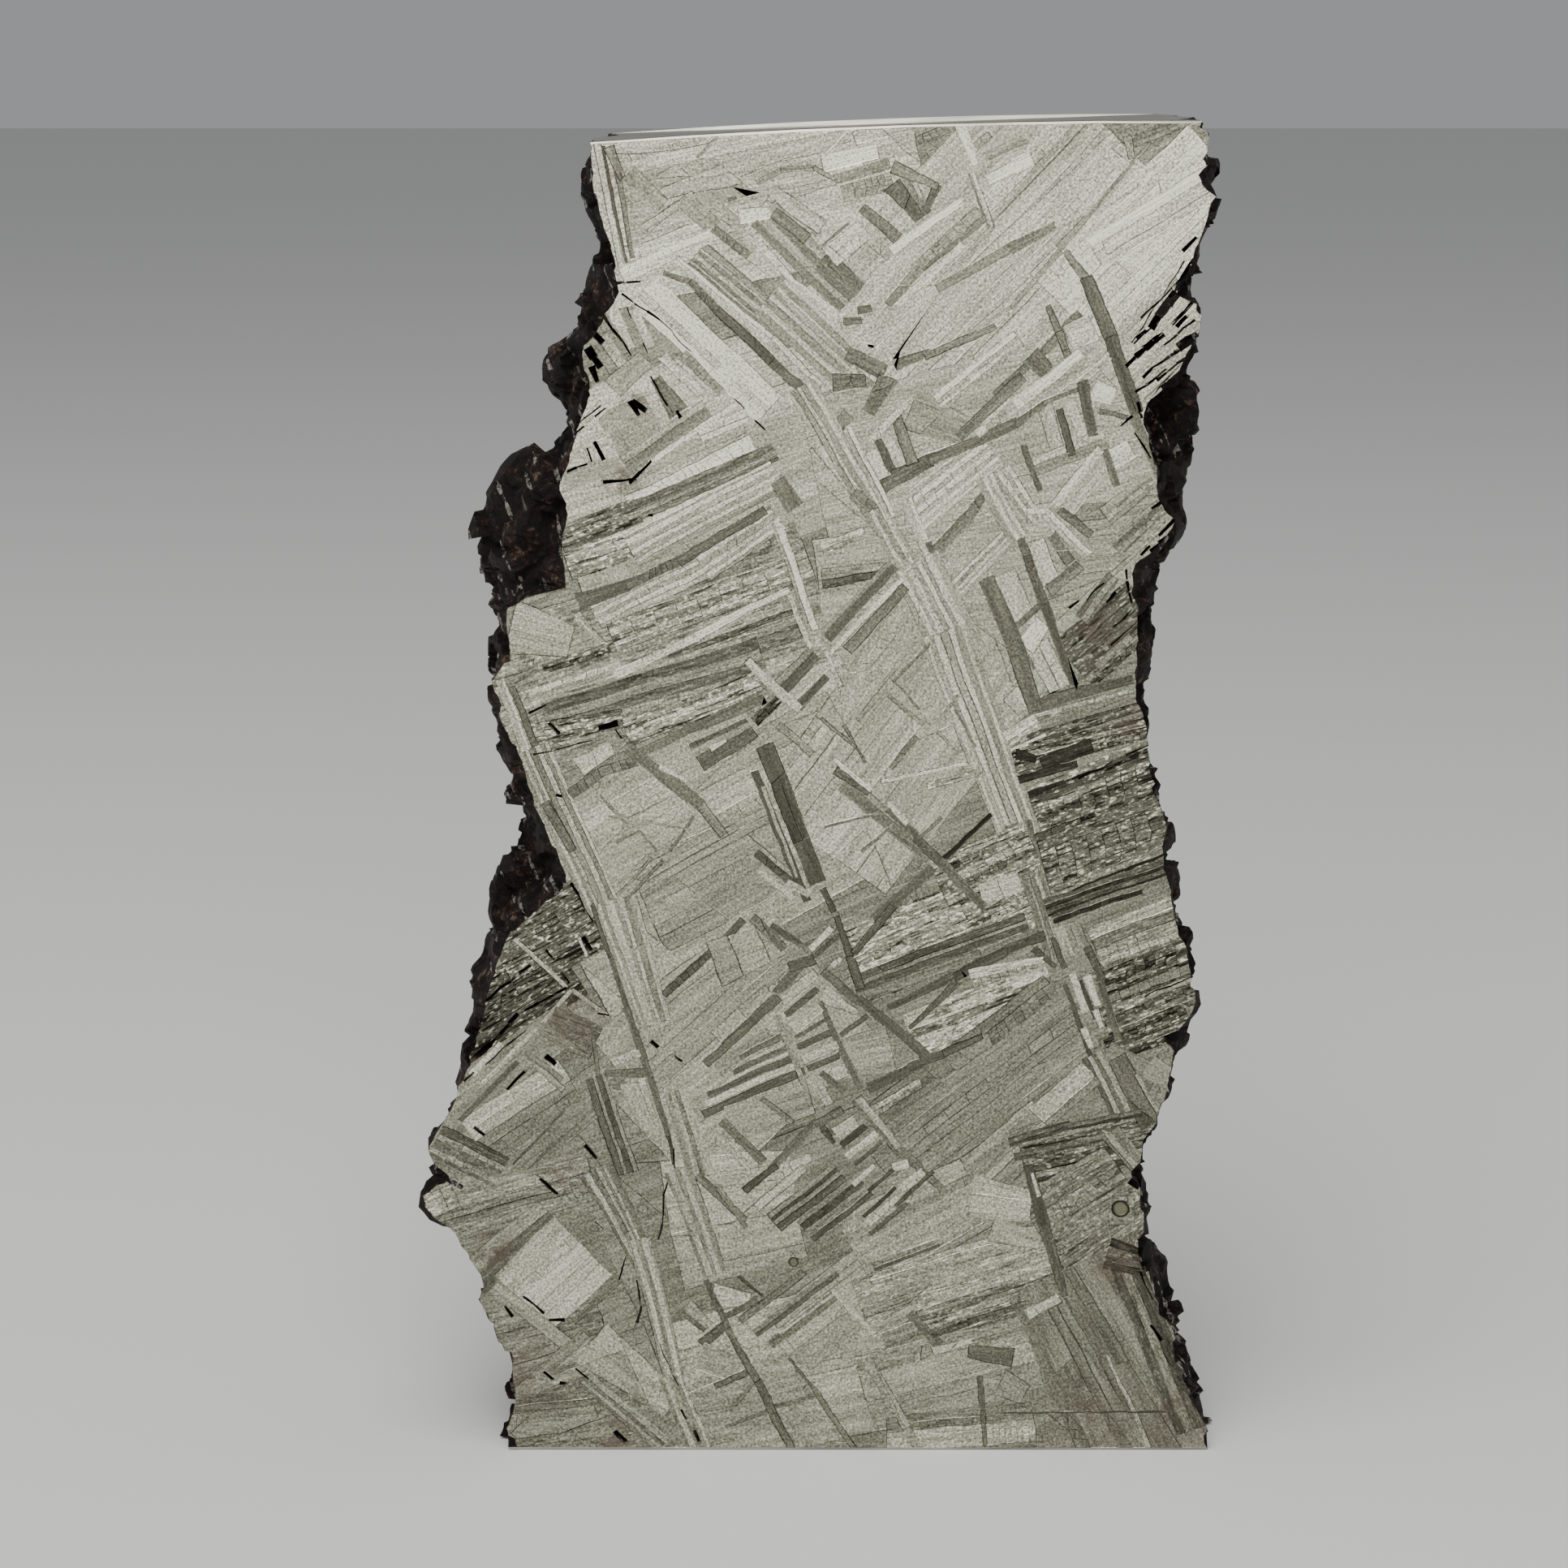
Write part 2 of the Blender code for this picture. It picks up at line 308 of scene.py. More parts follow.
# Plates on the front cut, in the order that they cross one another: start, end,
# width, width at the end, brightness, ripple and how many thin plates it holds.
PLATES = [
    # The broad fields.
    ((-11.0, 55.0), (4.0, 58.0), 9.0, 9.0, 0.83, 0.0, 1),
    ((2.0, 48.0), (12.0, 58.5), 9.0, 9.0, 0.83, 0.0, 3),
    ((10.6, 50.6), (17.0, 57.0), 5.0, 4.4, 0.93, 0.0, 5),
    ((11.6, 53.2), (16.8, 56.4), 1.4, 1.4, 1.00, 0.0, 2),
    ((-11.5, 42.0), (2.0, 47.0), 9.0, 9.0, 0.80, 0.0, 2),
    ((-14.0, 33.5), (0.0, 38.5), 7.0, 7.0, 0.66, 0.4, 5),
    ((0.0, 42.5), (15.5, 46.0), 9.0, 9.0, 0.76, 0.0, 1),
    ((0.0, 38.0), (15.0, 40.0), 6.0, 6.0, 0.74, 0.0, 1),
    ((-11.5, 24.0), (3.0, 32.0), 10.0, 9.0, 0.75, 0.0, 1),
    ((0.0, 27.5), (7.0, 37.0), 7.0, 7.5, 0.75, 0.0, 1),
    ((9.0, 28.8), (15.0, 31.2), 2.4, 2.6, 0.46, 0.9, 6),
    ((9.0, 26.0), (16.0, 28.8), 3.0, 3.0, 0.52, 0.8, 7),
    ((1.6, 22.2), (9.8, 25.8), 3.6, 3.0, 0.67, 1.0, 8),
    ((1.5, 21.4), (9.0, 24.2), 0.9, 0.8, 0.56, 0.2, 3),
    ((2.0, 20.9), (7.0, 22.7), 0.5, 0.5, 0.57, 0.2, 1),
    ((4.0, 18.9), (10.2, 21.4), 2.4, 2.2, 0.71, 0.8, 4),
    ((-8.0, 15.0), (0.0, 22.0), 9.0, 8.0, 0.73, 0.0, 1),
    ((2.6, 13.2), (11.2, 20.0), 5.0, 4.6, 0.62, 0.1, 5),
    ((6.0, 11.6), (10.0, 15.4), 2.6, 2.0, 0.67, 0.1, 4),
    ((12.0, 22.9), (16.2, 24.6), 2.0, 2.0, 0.61, 0.4, 4),
    ((12.2, 21.3), (16.6, 23.1), 1.1, 1.1, 0.40, 0.9, 5),
    ((12.4, 19.6), (16.6, 21.3), 1.5, 1.4, 0.48, 0.7, 5),
    ((12.6, 18.3), (16.2, 19.8), 1.2, 1.2, 0.41, 0.9, 5),
    ((12.2, 17.6), (15.6, 16.0), 2.6, 2.4, 0.61, 0.0, 1),
    ((9.0, 13.2), (14.8, 14.6), 2.2, 2.2, 0.53, 0.7, 6),
    ((-16.0, 19.2), (-11.0, 22.2), 3.4, 3.0, 0.34, 1.0, 6),
    ((-14.0, 22.4), (-9.6, 24.8), 3.4, 3.4, 0.48, 1.0, 6),
    ((-17.8, 12.6), (-9.8, 18.6), 6.0, 5.0, 0.61, 0.1, 4),
    ((-15.2, 14.2), (-11.0, 17.0), 2.4, 2.2, 0.70, 0.0, 2),
    ((-17.0, 10.3), (-10.0, 12.4), 3.0, 2.6, 0.64, 0.3, 4),
    ((-15.8, 7.6), (-12.0, 11.0), 1.8, 1.4, 0.57, 0.2, 2),
    ((-15.2, 3.6), (-9.5, 5.4), 5.4, 4.0, 0.60, 0.3, 4),
    ((-14.8, 0.8), (-8.4, 1.6), 3.2, 3.0, 0.62, 0.2, 3),
    ((-6.6, 10.4), (-1.0, 11.4), 6.0, 5.0, 0.76, 0.1, 2),
    ((-6.4, 2.4), (3.0, 4.6), 7.0, 7.0, 0.75, 0.0, 2),
    ((-1.4, 5.0), (3.2, 8.6), 3.2, 3.2, 0.75, 0.0, 3),
    ((1.6, 9.0), (7.0, 12.0), 4.0, 3.4, 0.71, 0.1, 4),
    ((1.8, 6.6), (10.2, 9.4), 2.8, 2.4, 0.70, 0.4, 6),
    ((4.6, 5.6), (10.8, 7.8), 1.9, 1.5, 0.58, 0.6, 6),
    ((2.0, 2.6), (9.6, 4.6), 3.6, 3.4, 0.70, 0.2, 3),
    ((3.0, 0.4), (9.6, 1.0), 2.2, 2.6, 0.66, 0.2, 3),
    ((10.0, 9.6), (13.8, 12.2), 5.0, 4.4, 0.57, 0.5, 8),
    ((10.4, 8.2), (15.6, -1.4), 4.6, 6.4, 0.60, 0.05, 7),
    ((13.4, 9.4), (16.8, 1.0), 1.8, 1.8, 0.50, 0.3, 4),
    # The top left.
    ((-9.5, 57.9), (-8.5, 52.6), 0.34, 0.26, 0.87, 0.0, 1),
    ((-9.25, 57.7), (-8.75, 54.9), 0.12, 0.12, 0.38, 0.0, 1),
    ((-8.75, 54.9), (-8.3, 52.8), 0.10, 0.12, 0.38, 0.0, 1),
    ((-8.75, 57.3), (-8.05, 53.0), 0.26, 0.18, 0.59, 0.0, 1),
    ((-9.0, 57.7), (-8.4, 56.3), 0.50, 0.30, 0.59, 0.3, 1),
    ((-8.2, 56.6), (-6.8, 55.2), 0.80, 0.70, 0.73, 0.0, 1),
    ((-7.6, 54.3), (-5.4, 55.7), 0.35, 0.30, 0.75, 0.0, 1),
    ((-5.9, 55.4), (-4.8, 54.3), 0.50, 0.40, 0.69, 0.0, 1),
    ((-4.6, 55.4), (-3.3, 54.3), 0.35, 0.30, 0.71, 0.0, 1),
    ((-4.0, 55.5), (-3.2, 55.7), 0.18, 0.12, 0.53, 0.0, 1),
    ((-5.3, 57.2), (-4.4, 58.1), 0.12, 0.10, 0.65, 0.0, 1),
    ((-2.4, 55.4), (-0.2, 53.9), 1.70, 1.60, 0.81, 0.0, 1),
    ((-2.5, 54.9), (1.2, 51.2), 1.50, 1.40, 0.64, 0.0, 4),
    ((-2.05, 54.95), (-0.6, 53.8), 0.55, 0.50, 0.53, 0.0, 1),
    ((0.0, 52.9), (1.5, 51.5), 1.00, 1.00, 0.48, 0.0, 1),
    ((-2.7, 53.6), (-1.2, 52.0), 0.35, 0.30, 0.93, 0.0, 1),
    ((-1.2, 52.0), (0.6, 50.6), 0.30, 0.30, 0.91, 0.0, 1),
    ((0.3, 53.0), (1.8, 54.2), 1.00, 0.90, 0.87, 0.0, 1),
    ((0.0, 53.5), (1.15, 54.45), 0.12, 0.10, 0.51, 0.0, 1),
    ((-5.3, 53.2), (-1.0, 49.6), 1.20, 1.20, 0.68, 0.1, 7),
    ((-6.2, 52.9), (-2.2, 49.5), 0.50, 0.50, 0.93, 0.0, 2),
    ((-2.2, 51.4), (1.2, 48.3), 2.00, 1.80, 0.78, 0.0, 8),
    ((-2.2, 49.5), (-0.1, 47.5), 0.60, 0.60, 0.86, 0.0, 2),
    ((-7.6, 51.6), (-2.2, 46.6), 1.50, 1.50, 0.88, 0.0, 2),
    ((-6.75, 52.35), (-5.5, 51.95), 0.22, 0.30, 0.55, 0.0, 1),
    ((-5.6, 52.0), (-4.3, 50.7), 0.36, 0.38, 0.49, 0.0, 1),
    ((-4.4, 50.8), (-2.0, 48.5), 0.40, 0.42, 0.46, 0.0, 1),
    ((-2.1, 48.6), (0.2, 46.6), 0.42, 0.46, 0.46, 0.0, 1),
    ((-5.9, 48.9), (-4.3, 47.3), 0.50, 0.40, 0.66, 0.0, 1),
    ((-6.8, 48.9), (-5.1, 47.2), 0.50, 0.50, 0.90, 0.0, 1),
    ((-8.5, 52.25), (-6.4, 53.25), 0.60, 0.60, 0.96, 0.0, 2),
    ((-6.4, 53.25), (-4.3, 54.1), 0.60, 0.50, 0.96, 0.0, 2),
    ((-4.9, 54.8), (-4.0, 54.1), 0.45, 0.40, 0.63, 0.0, 1),
    ((-4.5, 54.4), (-3.0, 53.2), 0.70, 0.60, 0.65, 0.0, 2),
    ((-3.55, 54.75), (-2.2, 54.95), 0.65, 0.50, 0.98, 0.0, 1),
    ((-2.7, 56.2), (-1.7, 56.75), 0.20, 0.20, 0.63, 0.0, 1),
    ((-1.7, 56.75), (-0.3, 56.85), 0.20, 0.20, 0.63, 0.0, 1),
    ((-0.3, 56.85), (0.6, 56.3), 0.20, 0.16, 0.65, 0.0, 1),
    ((0.9, 55.7), (3.0, 56.3), 0.70, 0.80, 0.65, 0.0, 1),
    ((0.6, 56.3), (2.9, 57.0), 0.45, 0.50, 0.63, 0.0, 1),
    ((0.05, 57.0), (2.4, 57.55), 0.75, 0.60, 0.99, 0.0, 1),
    ((0.0, 57.2), (1.1, 58.4), 0.12, 0.12, 0.98, 0.0, 1),
    ((1.7, 55.1), (3.2, 53.8), 0.50, 0.50, 0.55, 0.0, 1),
    ((0.5, 47.75), (1.9, 47.85), 0.75, 0.50, 0.50, 0.0, 1),
    ((1.1, 49.0), (2.7, 48.2), 0.60, 0.70, 0.52, 0.0, 1),
    ((0.9, 50.3), (1.7, 50.35), 0.35, 0.30, 0.48, 0.0, 1),
    ((1.5, 50.75), (2.1, 50.85), 0.35, 0.30, 0.48, 0.0, 1),
    # The top right.
    ((3.2, 56.3), (4.3, 54.7), 1.40, 0.80, 0.57, 0.0, 2),
    ((3.9, 56.2), (4.2, 55.5), 0.20, 0.15, 0.83, 0.0, 1),
    ((4.9, 56.1), (4.3, 54.8), 0.35, 0.30, 0.49, 0.0, 1),
    ((3.0, 56.9), (4.9, 56.0), 0.60, 0.30, 0.61, 0.0, 1),
    ((6.5, 57.7), (7.1, 58.2), 0.40, 0.30, 0.67, 0.0, 1),
    ((7.0, 57.3), (8.6, 58.0), 0.45, 0.50, 0.63, 0.0, 1),
    ((7.0, 56.3), (8.9, 57.2), 0.50, 0.60, 1.00, 0.0, 1),
    ((5.8, 58.7), (6.5, 57.0), 0.50, 0.30, 0.99, 0.0, 1),
    ((6.2, 56.6), (7.1, 54.3), 0.10, 0.10, 0.59, 0.0, 1),
    ((6.4, 56.6), (7.3, 54.3), 0.18, 0.15, 0.95, 0.0, 1),
    ((12.9, 58.1), (13.1, 57.2), 0.35, 0.30, 0.71, 0.0, 1),
    ((3.0, 53.2), (6.0, 55.3), 0.60, 0.50, 0.91, 0.0, 2),
    ((3.9, 52.4), (6.8, 54.9), 0.55, 0.80, 0.60, 0.0, 2),
    ((2.8, 51.0), (4.2, 52.6), 0.35, 0.45, 0.59, 0.0, 1),
    ((3.2, 51.0), (6.0, 53.6), 0.30, 0.30, 0.93, 0.0, 1),
    ((4.9, 51.7), (8.1, 53.5), 0.40, 0.40, 0.61, 0.0, 1),
    ((8.0, 53.4), (9.9, 54.4), 0.50, 0.35, 0.59, 0.0, 1),
    ((3.3, 48.6), (5.0, 50.7), 0.22, 0.20, 0.60, 0.0, 1),
    ((5.9, 49.4), (8.1, 51.0), 0.20, 0.20, 0.69, 0.0, 1),
    ((8.0, 50.9), (10.3, 53.5), 0.20, 0.25, 0.65, 0.0, 1),
    ((3.1, 48.5), (4.6, 49.0), 0.50, 0.35, 0.50, 0.0, 1),
    ((4.4, 48.8), (7.4, 50.1), 0.36, 0.30, 0.56, 0.0, 1),
    ((7.4, 47.2), (9.6, 49.2), 0.30, 0.35, 0.52, 0.0, 1),
    ((9.5, 49.1), (11.0, 50.7), 0.35, 0.40, 0.54, 0.0, 1),
    ((8.9, 48.9), (9.6, 48.2), 0.90, 0.70, 0.52, 0.0, 1),
    ((10.5, 49.6), (11.6, 50.1), 1.10, 1.20, 0.88, 0.0, 1),
    ((9.6, 51.0), (10.1, 49.9), 0.25, 0.35, 0.53, 0.0, 1),
    ((10.1, 49.9), (10.8, 48.1), 0.40, 0.25, 0.52, 0.0, 1),
    ((10.9, 47.6), (12.3, 48.8), 0.70, 0.60, 0.86, 0.0, 5),
    ((12.8, 47.3), (16.4, 50.8), 4.40, 4.40, 0.80, 0.0, 16),
    ((10.1, 53.4), (11.7, 55.3), 0.34, 0.22, 0.65, 0.0, 1),
    ((11.7, 55.3), (13.9, 57.9), 0.15, 0.14, 0.65, 0.0, 1),
    ((11.6, 54.9), (13.5, 56.1), 0.10, 0.10, 0.75, 0.0, 1),
    ((10.3, 53.4), (11.3, 52.0), 0.26, 0.40, 0.61, 0.0, 1),
    ((11.2, 52.2), (12.3, 49.7), 0.58, 0.64, 0.47, 0.0, 1),
    ((12.3, 49.7), (13.5, 46.4), 0.62, 0.56, 0.44, 0.0, 1),
    ((11.6, 47.4), (12.5, 47.1), 0.90, 0.70, 0.96, 0.0, 1),
    # The left fingers and the bands below them.
    ((-9.1, 45.3), (-7.2, 46.4), 2.20, 1.80, 0.70, 0.0, 1),
    ((-9.0, 51.0), (-8.1, 49.2), 0.55, 0.40, 0.85, 0.0, 1),
    ((-9.3, 49.7), (-8.4, 48.3), 0.55, 0.45, 0.78, 0.0, 1),
    ((-8.0, 50.9), (-7.3, 49.3), 0.45, 0.30, 0.79, 0.0, 1),
    ((-8.9, 47.4), (-7.5, 48.8), 0.95, 0.90, 0.72, 0.0, 1),
    ((-7.1, 47.9), (-6.1, 46.4), 0.50, 0.90, 0.54, 0.0, 1),
    ((-10.8, 44.9), (-9.2, 46.6), 0.25, 0.20, 0.86, 0.0, 1),
    ((-10.6, 45.6), (-9.4, 46.9), 0.20, 0.18, 0.86, 0.0, 1),
    ((-10.3, 45.0), (-9.9, 44.1), 0.25, 0.20, 0.84, 0.0, 1),
    ((-9.2, 45.6), (-8.7, 44.5), 0.18, 0.18, 0.86, 0.0, 1),
    ((-8.8, 45.7), (-8.2, 44.7), 0.14, 0.14, 0.58, 0.0, 1),
    ((-11.0, 43.6), (-8.4, 44.2), 0.80, 0.90, 0.68, 0.0, 1),
    ((-8.4, 44.2), (-4.9, 46.6), 0.90, 0.80, 0.69, 0.0, 2),
    ((-11.1, 42.4), (-8.2, 43.3), 1.10, 1.30, 0.82, 0.0, 1),
    ((-8.3, 42.6), (-3.0, 45.3), 1.30, 1.50, 0.87, 0.0, 3),
    ((-5.2, 45.4), (-3.2, 46.3), 0.55, 0.60, 0.96, 0.0, 1),
    ((-7.4, 44.3), (-3.5, 46.9), 0.26, 0.24, 0.94, 0.0, 1),
    ((-11.2, 40.9), (-7.8, 42.2), 1.20, 1.10, 0.54, 0.8, 3),
    ((-7.9, 42.2), (-2.0, 44.8), 0.90, 0.80, 0.58, 0.3, 3),
    ((-10.9, 39.8), (-7.9, 40.8), 1.20, 1.00, 0.66, 1.0, 2),
    ((-8.2, 40.4), (-1.9, 43.8), 1.60, 1.40, 0.82, 0.0, 8),
    ((-9.7, 37.6), (-5.0, 39.9), 1.10, 1.20, 0.82, 0.0, 6),
    ((-5.1, 39.8), (-1.9, 42.0), 1.40, 1.20, 0.80, 0.0, 7),
    ((-10.5, 38.3), (-8.3, 39.0), 0.75, 0.50, 0.46, 0.0, 1),
    ((-8.4, 38.95), (-6.0, 40.1), 0.42, 0.42, 0.46, 0.0, 1),
    ((-6.1, 40.0), (-2.4, 42.3), 0.42, 0.40, 0.46, 0.0, 1),
    ((-9.0, 36.7), (-1.2, 39.6), 1.30, 1.40, 0.68, 0.7, 5),
    ((-6.5, 35.6), (-1.0, 37.6), 1.80, 1.80, 0.56, 0.5, 4),
    ((-12.0, 35.3), (-9.1, 36.3), 0.40, 0.50, 0.48, 0.9, 2),
    ((-12.6, 34.0), (-8.6, 35.3), 0.90, 0.80, 0.80, 0.1, 4),
    ((-12.0, 33.3), (-2.6, 36.2), 1.50, 1.60, 0.57, 0.3, 4),
    ((-8.4, 32.5), (-2.6, 34.8), 1.00, 1.20, 0.72, 1.0, 3),
    ((-12.6, 32.4), (-8.6, 33.2), 1.10, 0.80, 0.62, 0.9, 3),
    ((-9.0, 35.1), (-7.7, 35.6), 0.40, 0.40, 0.92, 0.0, 1),
    ((-7.7, 35.6), (-5.3, 36.8), 0.40, 0.40, 0.93, 0.0, 1),
    ((-5.4, 36.8), (-1.4, 38.8), 0.35, 0.25, 0.93, 0.0, 1),
    ((-13.4, 37.2), (-10.8, 36.5), 2.40, 1.40, 0.74, 0.0, 1),
    ((-10.6, 37.7), (-9.5, 36.5), 0.50, 0.20, 0.82, 0.0, 3),
    ((-1.9, 43.6), (-1.1, 42.3), 0.70, 0.80, 0.52, 0.0, 1),
    ((-2.0, 41.9), (-0.3, 37.0), 0.45, 0.50, 0.86, 0.0, 2),
    ((-1.4, 38.6), (-0.4, 36.2), 0.25, 0.25, 0.86, 0.0, 1),
    # The upper middle.
    ((2.9, 48.0), (2.0, 46.4), 0.90, 0.60, 0.58, 0.0, 1),
    ((3.8, 46.6), (6.1, 45.7), 1.90, 1.20, 0.68, 0.0, 1),
    ((8.4, 46.6), (11.2, 48.8), 1.00, 0.90, 0.84, 0.0, 2),
    ((5.0, 46.8), (8.4, 49.6), 0.80, 0.80, 0.86, 0.0, 4),
    ((9.5, 46.8), (10.2, 44.6), 0.70, 0.60, 0.80, 0.0, 1),
    ((10.6, 46.9), (11.2, 45.4), 0.50, 0.50, 0.86, 0.0, 1),
    ((8.9, 44.0), (12.2, 45.3), 0.90, 0.80, 0.76, 0.0, 2),
    ((3.9, 42.0), (7.3, 44.8), 1.80, 1.50, 0.88, 0.0, 9),
    ((4.8, 40.4), (6.4, 42.0), 0.50, 0.60, 0.54, 0.0, 1),
    ((6.3, 41.9), (7.1, 43.1), 0.50, 0.30, 0.54, 0.0, 1),
    ((5.4, 38.4), (8.3, 41.3), 0.80, 0.70, 0.82, 0.0, 6),
    ((3.6, 42.7), (4.6, 40.4), 0.50, 0.50, 0.88, 0.0, 2),
    ((4.6, 40.9), (4.9, 40.2), 0.30, 0.20, 0.50, 0.0, 1),
    ((7.0, 43.7), (8.5, 41.0), 1.00, 0.90, 0.86, 0.0, 5),
    ((7.7, 44.0), (9.2, 41.8), 0.90, 0.70, 0.84, 0.0, 4),
    ((10.3, 42.3), (12.2, 44.7), 1.10, 1.00, 0.84, 0.0, 2),
    ((9.1, 40.9), (10.0, 38.9), 0.95, 0.90, 0.84, 0.0, 1),
    ((7.9, 39.5), (8.8, 37.2), 1.00, 1.10, 0.84, 0.0, 1),
    ((9.8, 38.7), (11.2, 39.9), 0.55, 0.50, 0.56, 0.0, 1),
    ((9.9, 41.2), (10.8, 40.0), 0.40, 0.50, 0.54, 0.0, 1),
    ((10.2, 42.3), (11.6, 41.2), 0.40, 0.35, 0.52, 0.0, 1),
    ((9.5, 42.2), (11.5, 40.3), 0.50, 0.46, 0.93, 0.0, 2),
    ((8.8, 42.2), (9.8, 42.2), 0.26, 0.20, 0.92, 0.0, 1),
    ((2.4, 43.2), (4.7, 44.4), 0.75, 0.60, 0.48, 0.0, 1),
    ((4.6, 44.4), (6.9, 45.3), 0.52, 0.45, 0.48, 0.0, 1),
    ((6.8, 45.3), (8.4, 46.1), 0.45, 0.45, 0.48, 0.0, 1),
    ((8.3, 46.0), (9.5, 46.9), 0.35, 0.30, 0.50, 0.0, 1),
    ((9.4, 46.9), (11.2, 47.5), 0.22, 0.20, 0.58, 0.0, 1),
    ((5.9, 45.4), (8.6, 48.0), 0.50, 0.45, 0.55, 0.0, 1),
    ((6.9, 45.9), (8.1, 47.1), 0.18, 0.15, 0.92, 0.0, 1),
    ((6.65, 45.5), (7.0, 45.8), 0.34, 0.30, 0.98, 0.0, 1),
    ((2.1, 44.8), (2.7, 43.6), 0.60, 0.60, 0.86, 0.0, 1),
    ((2.8, 45.3), (3.4, 44.1), 0.55, 0.50, 0.86, 0.0, 1),
    ((2.45, 45.3), (3.0, 43.9), 0.34, 0.36, 0.44, 0.0, 1),
    ((3.2, 46.3), (3.9, 44.2), 0.50, 0.55, 0.58, 0.0, 1),
    ((2.1, 45.2), (3.7, 46.9), 0.34, 0.35, 0.90, 0.0, 1),
    ((0.1, 45.2), (1.2, 46.4), 0.50, 0.60, 0.60, 0.0, 1),
    ((0.1, 45.1), (1.6, 43.3), 1.00, 0.90, 0.84, 0.0, 1),
    ((10.15, 46.6), (10.75, 44.6), 0.34, 0.32, 0.44, 0.0, 1),
    ((11.1, 47.8), (11.65, 45.4), 0.55, 0.45, 0.42, 0.0, 1),
    ((8.65, 45.1), (9.45, 43.1), 0.30, 0.22, 0.44, 0.0, 1),
    ((12.4, 44.4), (13.3, 44.9), 1.00, 0.90, 0.94, 0.0, 1),
    ((12.1, 44.9), (12.7, 43.3), 0.30, 0.34, 0.50, 0.0, 1),
    ((11.9, 46.5), (13.3, 46.2), 0.24, 0.20, 0.50, 0.0, 1),
    ((13.3, 46.4), (14.5, 43.7), 0.46, 0.40, 0.56, 0.0, 1),
    ((12.2, 42.0), (14.2, 43.6), 0.90, 0.80, 0.66, 0.1, 4),
    ((12.6, 40.6), (14.6, 42.4), 0.80, 0.70, 0.62, 0.2, 4),
    ((10.9, 35.6), (14.0, 38.2), 2.60, 2.60, 0.42, 0.7, 8),
    ((11.9, 35.5), (13.4, 36.8), 0.28, 0.30, 0.64, 0.0, 1),
    ((11.2, 37.5), (12.6, 39.4), 0.70, 0.60, 0.62, 0.1, 3),
    # The lattice down the middle.
    ((-0.8, 47.6), (3.9, 39.5), 1.10, 1.00, 0.80, 0.0, 5),
    ((1.4, 43.0), (2.2, 42.3), 0.50, 0.50, 0.56, 0.0, 1),
    ((0.0, 40.6), (1.9, 41.3), 0.50, 0.50, 0.80, 0.4, 2),
    ((0.0, 39.3), (3.2, 39.8), 0.90, 0.60, 0.58, 0.3, 2),
    ((4.0, 40.0), (6.0, 36.0), 2.30, 2.20, 0.82, 0.0, 9),
    ((1.1, 45.8), (3.0, 41.9), 0.45, 0.40, 0.88, 0.0, 2),
    ((5.3, 37.0), (8.7, 27.9), 2.20, 1.80, 0.80, 0.0, 9),
    ((8.5, 28.6), (10.4, 22.6), 1.20, 1.00, 0.65, 0.1, 5),
    ((8.2, 34.3), (8.9, 33.6), 0.90, 0.90, 0.84, 0.0, 1),
    ((9.3, 36.5), (10.3, 34.5), 1.10, 1.00, 0.88, 0.0, 1),
    ((8.8, 36.3), (9.6, 37.4), 0.90, 0.70, 0.96, 0.0, 1),
    ((9.2, 33.7), (11.0, 34.3), 0.62, 0.60, 0.47, 0.0, 1),
    ((11.0, 34.3), (13.5, 34.9), 0.60, 0.45, 0.44, 0.0, 1),
    ((7.15, 39.3), (8.5, 36.0), 0.66, 0.78, 0.48, 0.0, 1),
    ((8.5, 36.0), (9.3, 33.5), 0.75, 0.60, 0.48, 0.0, 1),
    ((8.55, 41.0), (9.6, 38.2), 0.34, 0.40, 0.46, 0.0, 1),
    ((9.6, 38.2), (10.9, 34.7), 0.38, 0.34, 0.44, 0.0, 1),
    ((8.4, 37.2), (9.4, 38.1), 0.28, 0.25, 0.50, 0.0, 1),
    ((9.2, 33.2), (13.3, 34.3), 0.36, 0.35, 0.72, 0.3, 2),
    ((8.1, 32.2), (9.4, 33.1), 0.80, 0.70, 0.78, 0.6, 2),
    ((9.0, 32.2), (14.2, 33.8), 0.60, 0.50, 0.40, 0.8, 3),
    ((8.4, 31.2), (14.2, 32.8), 1.20, 1.00, 0.44, 1.0, 6),
    ((9.6, 31.2), (11.8, 32.0), 0.55, 0.65, 0.20, 0.2, 1),
    ((8.5, 31.6), (9.4, 31.4), 0.50, 0.30, 0.18, 0.3, 1),
    ((8.6, 30.5), (11.2, 31.2), 0.36, 0.30, 0.22, 0.2, 1),
    ((9.0, 29.9), (10.6, 30.4), 0.26, 0.20, 0.16, 0.0, 1),
    ((8.3, 31.8), (9.8, 32.5), 0.14, 0.12, 0.96, 0.0, 1),
    ((9.8, 24.8), (15.0, 26.6), 0.80, 0.70, 0.32, 0.3, 4),
    ((11.0, 25.6), (15.0, 27.2), 0.10, 0.12, 0.10, 0.0, 1),
    ((10.1, 24.3), (14.0, 25.6), 0.40, 0.40, 0.34, 0.2, 2),
    # The centre.
    ((-1.9, 34.4), (-0.3, 36.0), 0.90, 0.70, 0.54, 0.0, 2),
    ((-1.0, 34.0), (0.2, 35.2), 0.30, 0.30, 0.86, 0.0, 1),
    ((-1.0, 33.7), (0.3, 35.0), 0.40, 0.36, 0.44, 0.0, 1),
    ((0.2, 36.7), (3.1, 39.9), 0.75, 0.55, 0.52, 0.0, 2),
    ((1.2, 36.1), (3.6, 38.9), 0.50, 0.40, 0.55, 0.0, 1),
    ((0.4, 35.9), (3.5, 39.3), 0.20, 0.26, 0.97, 0.0, 1),
    ((-3.2, 35.8), (-0.9, 33.6), 0.40, 0.34, 0.86, 0.0, 1),
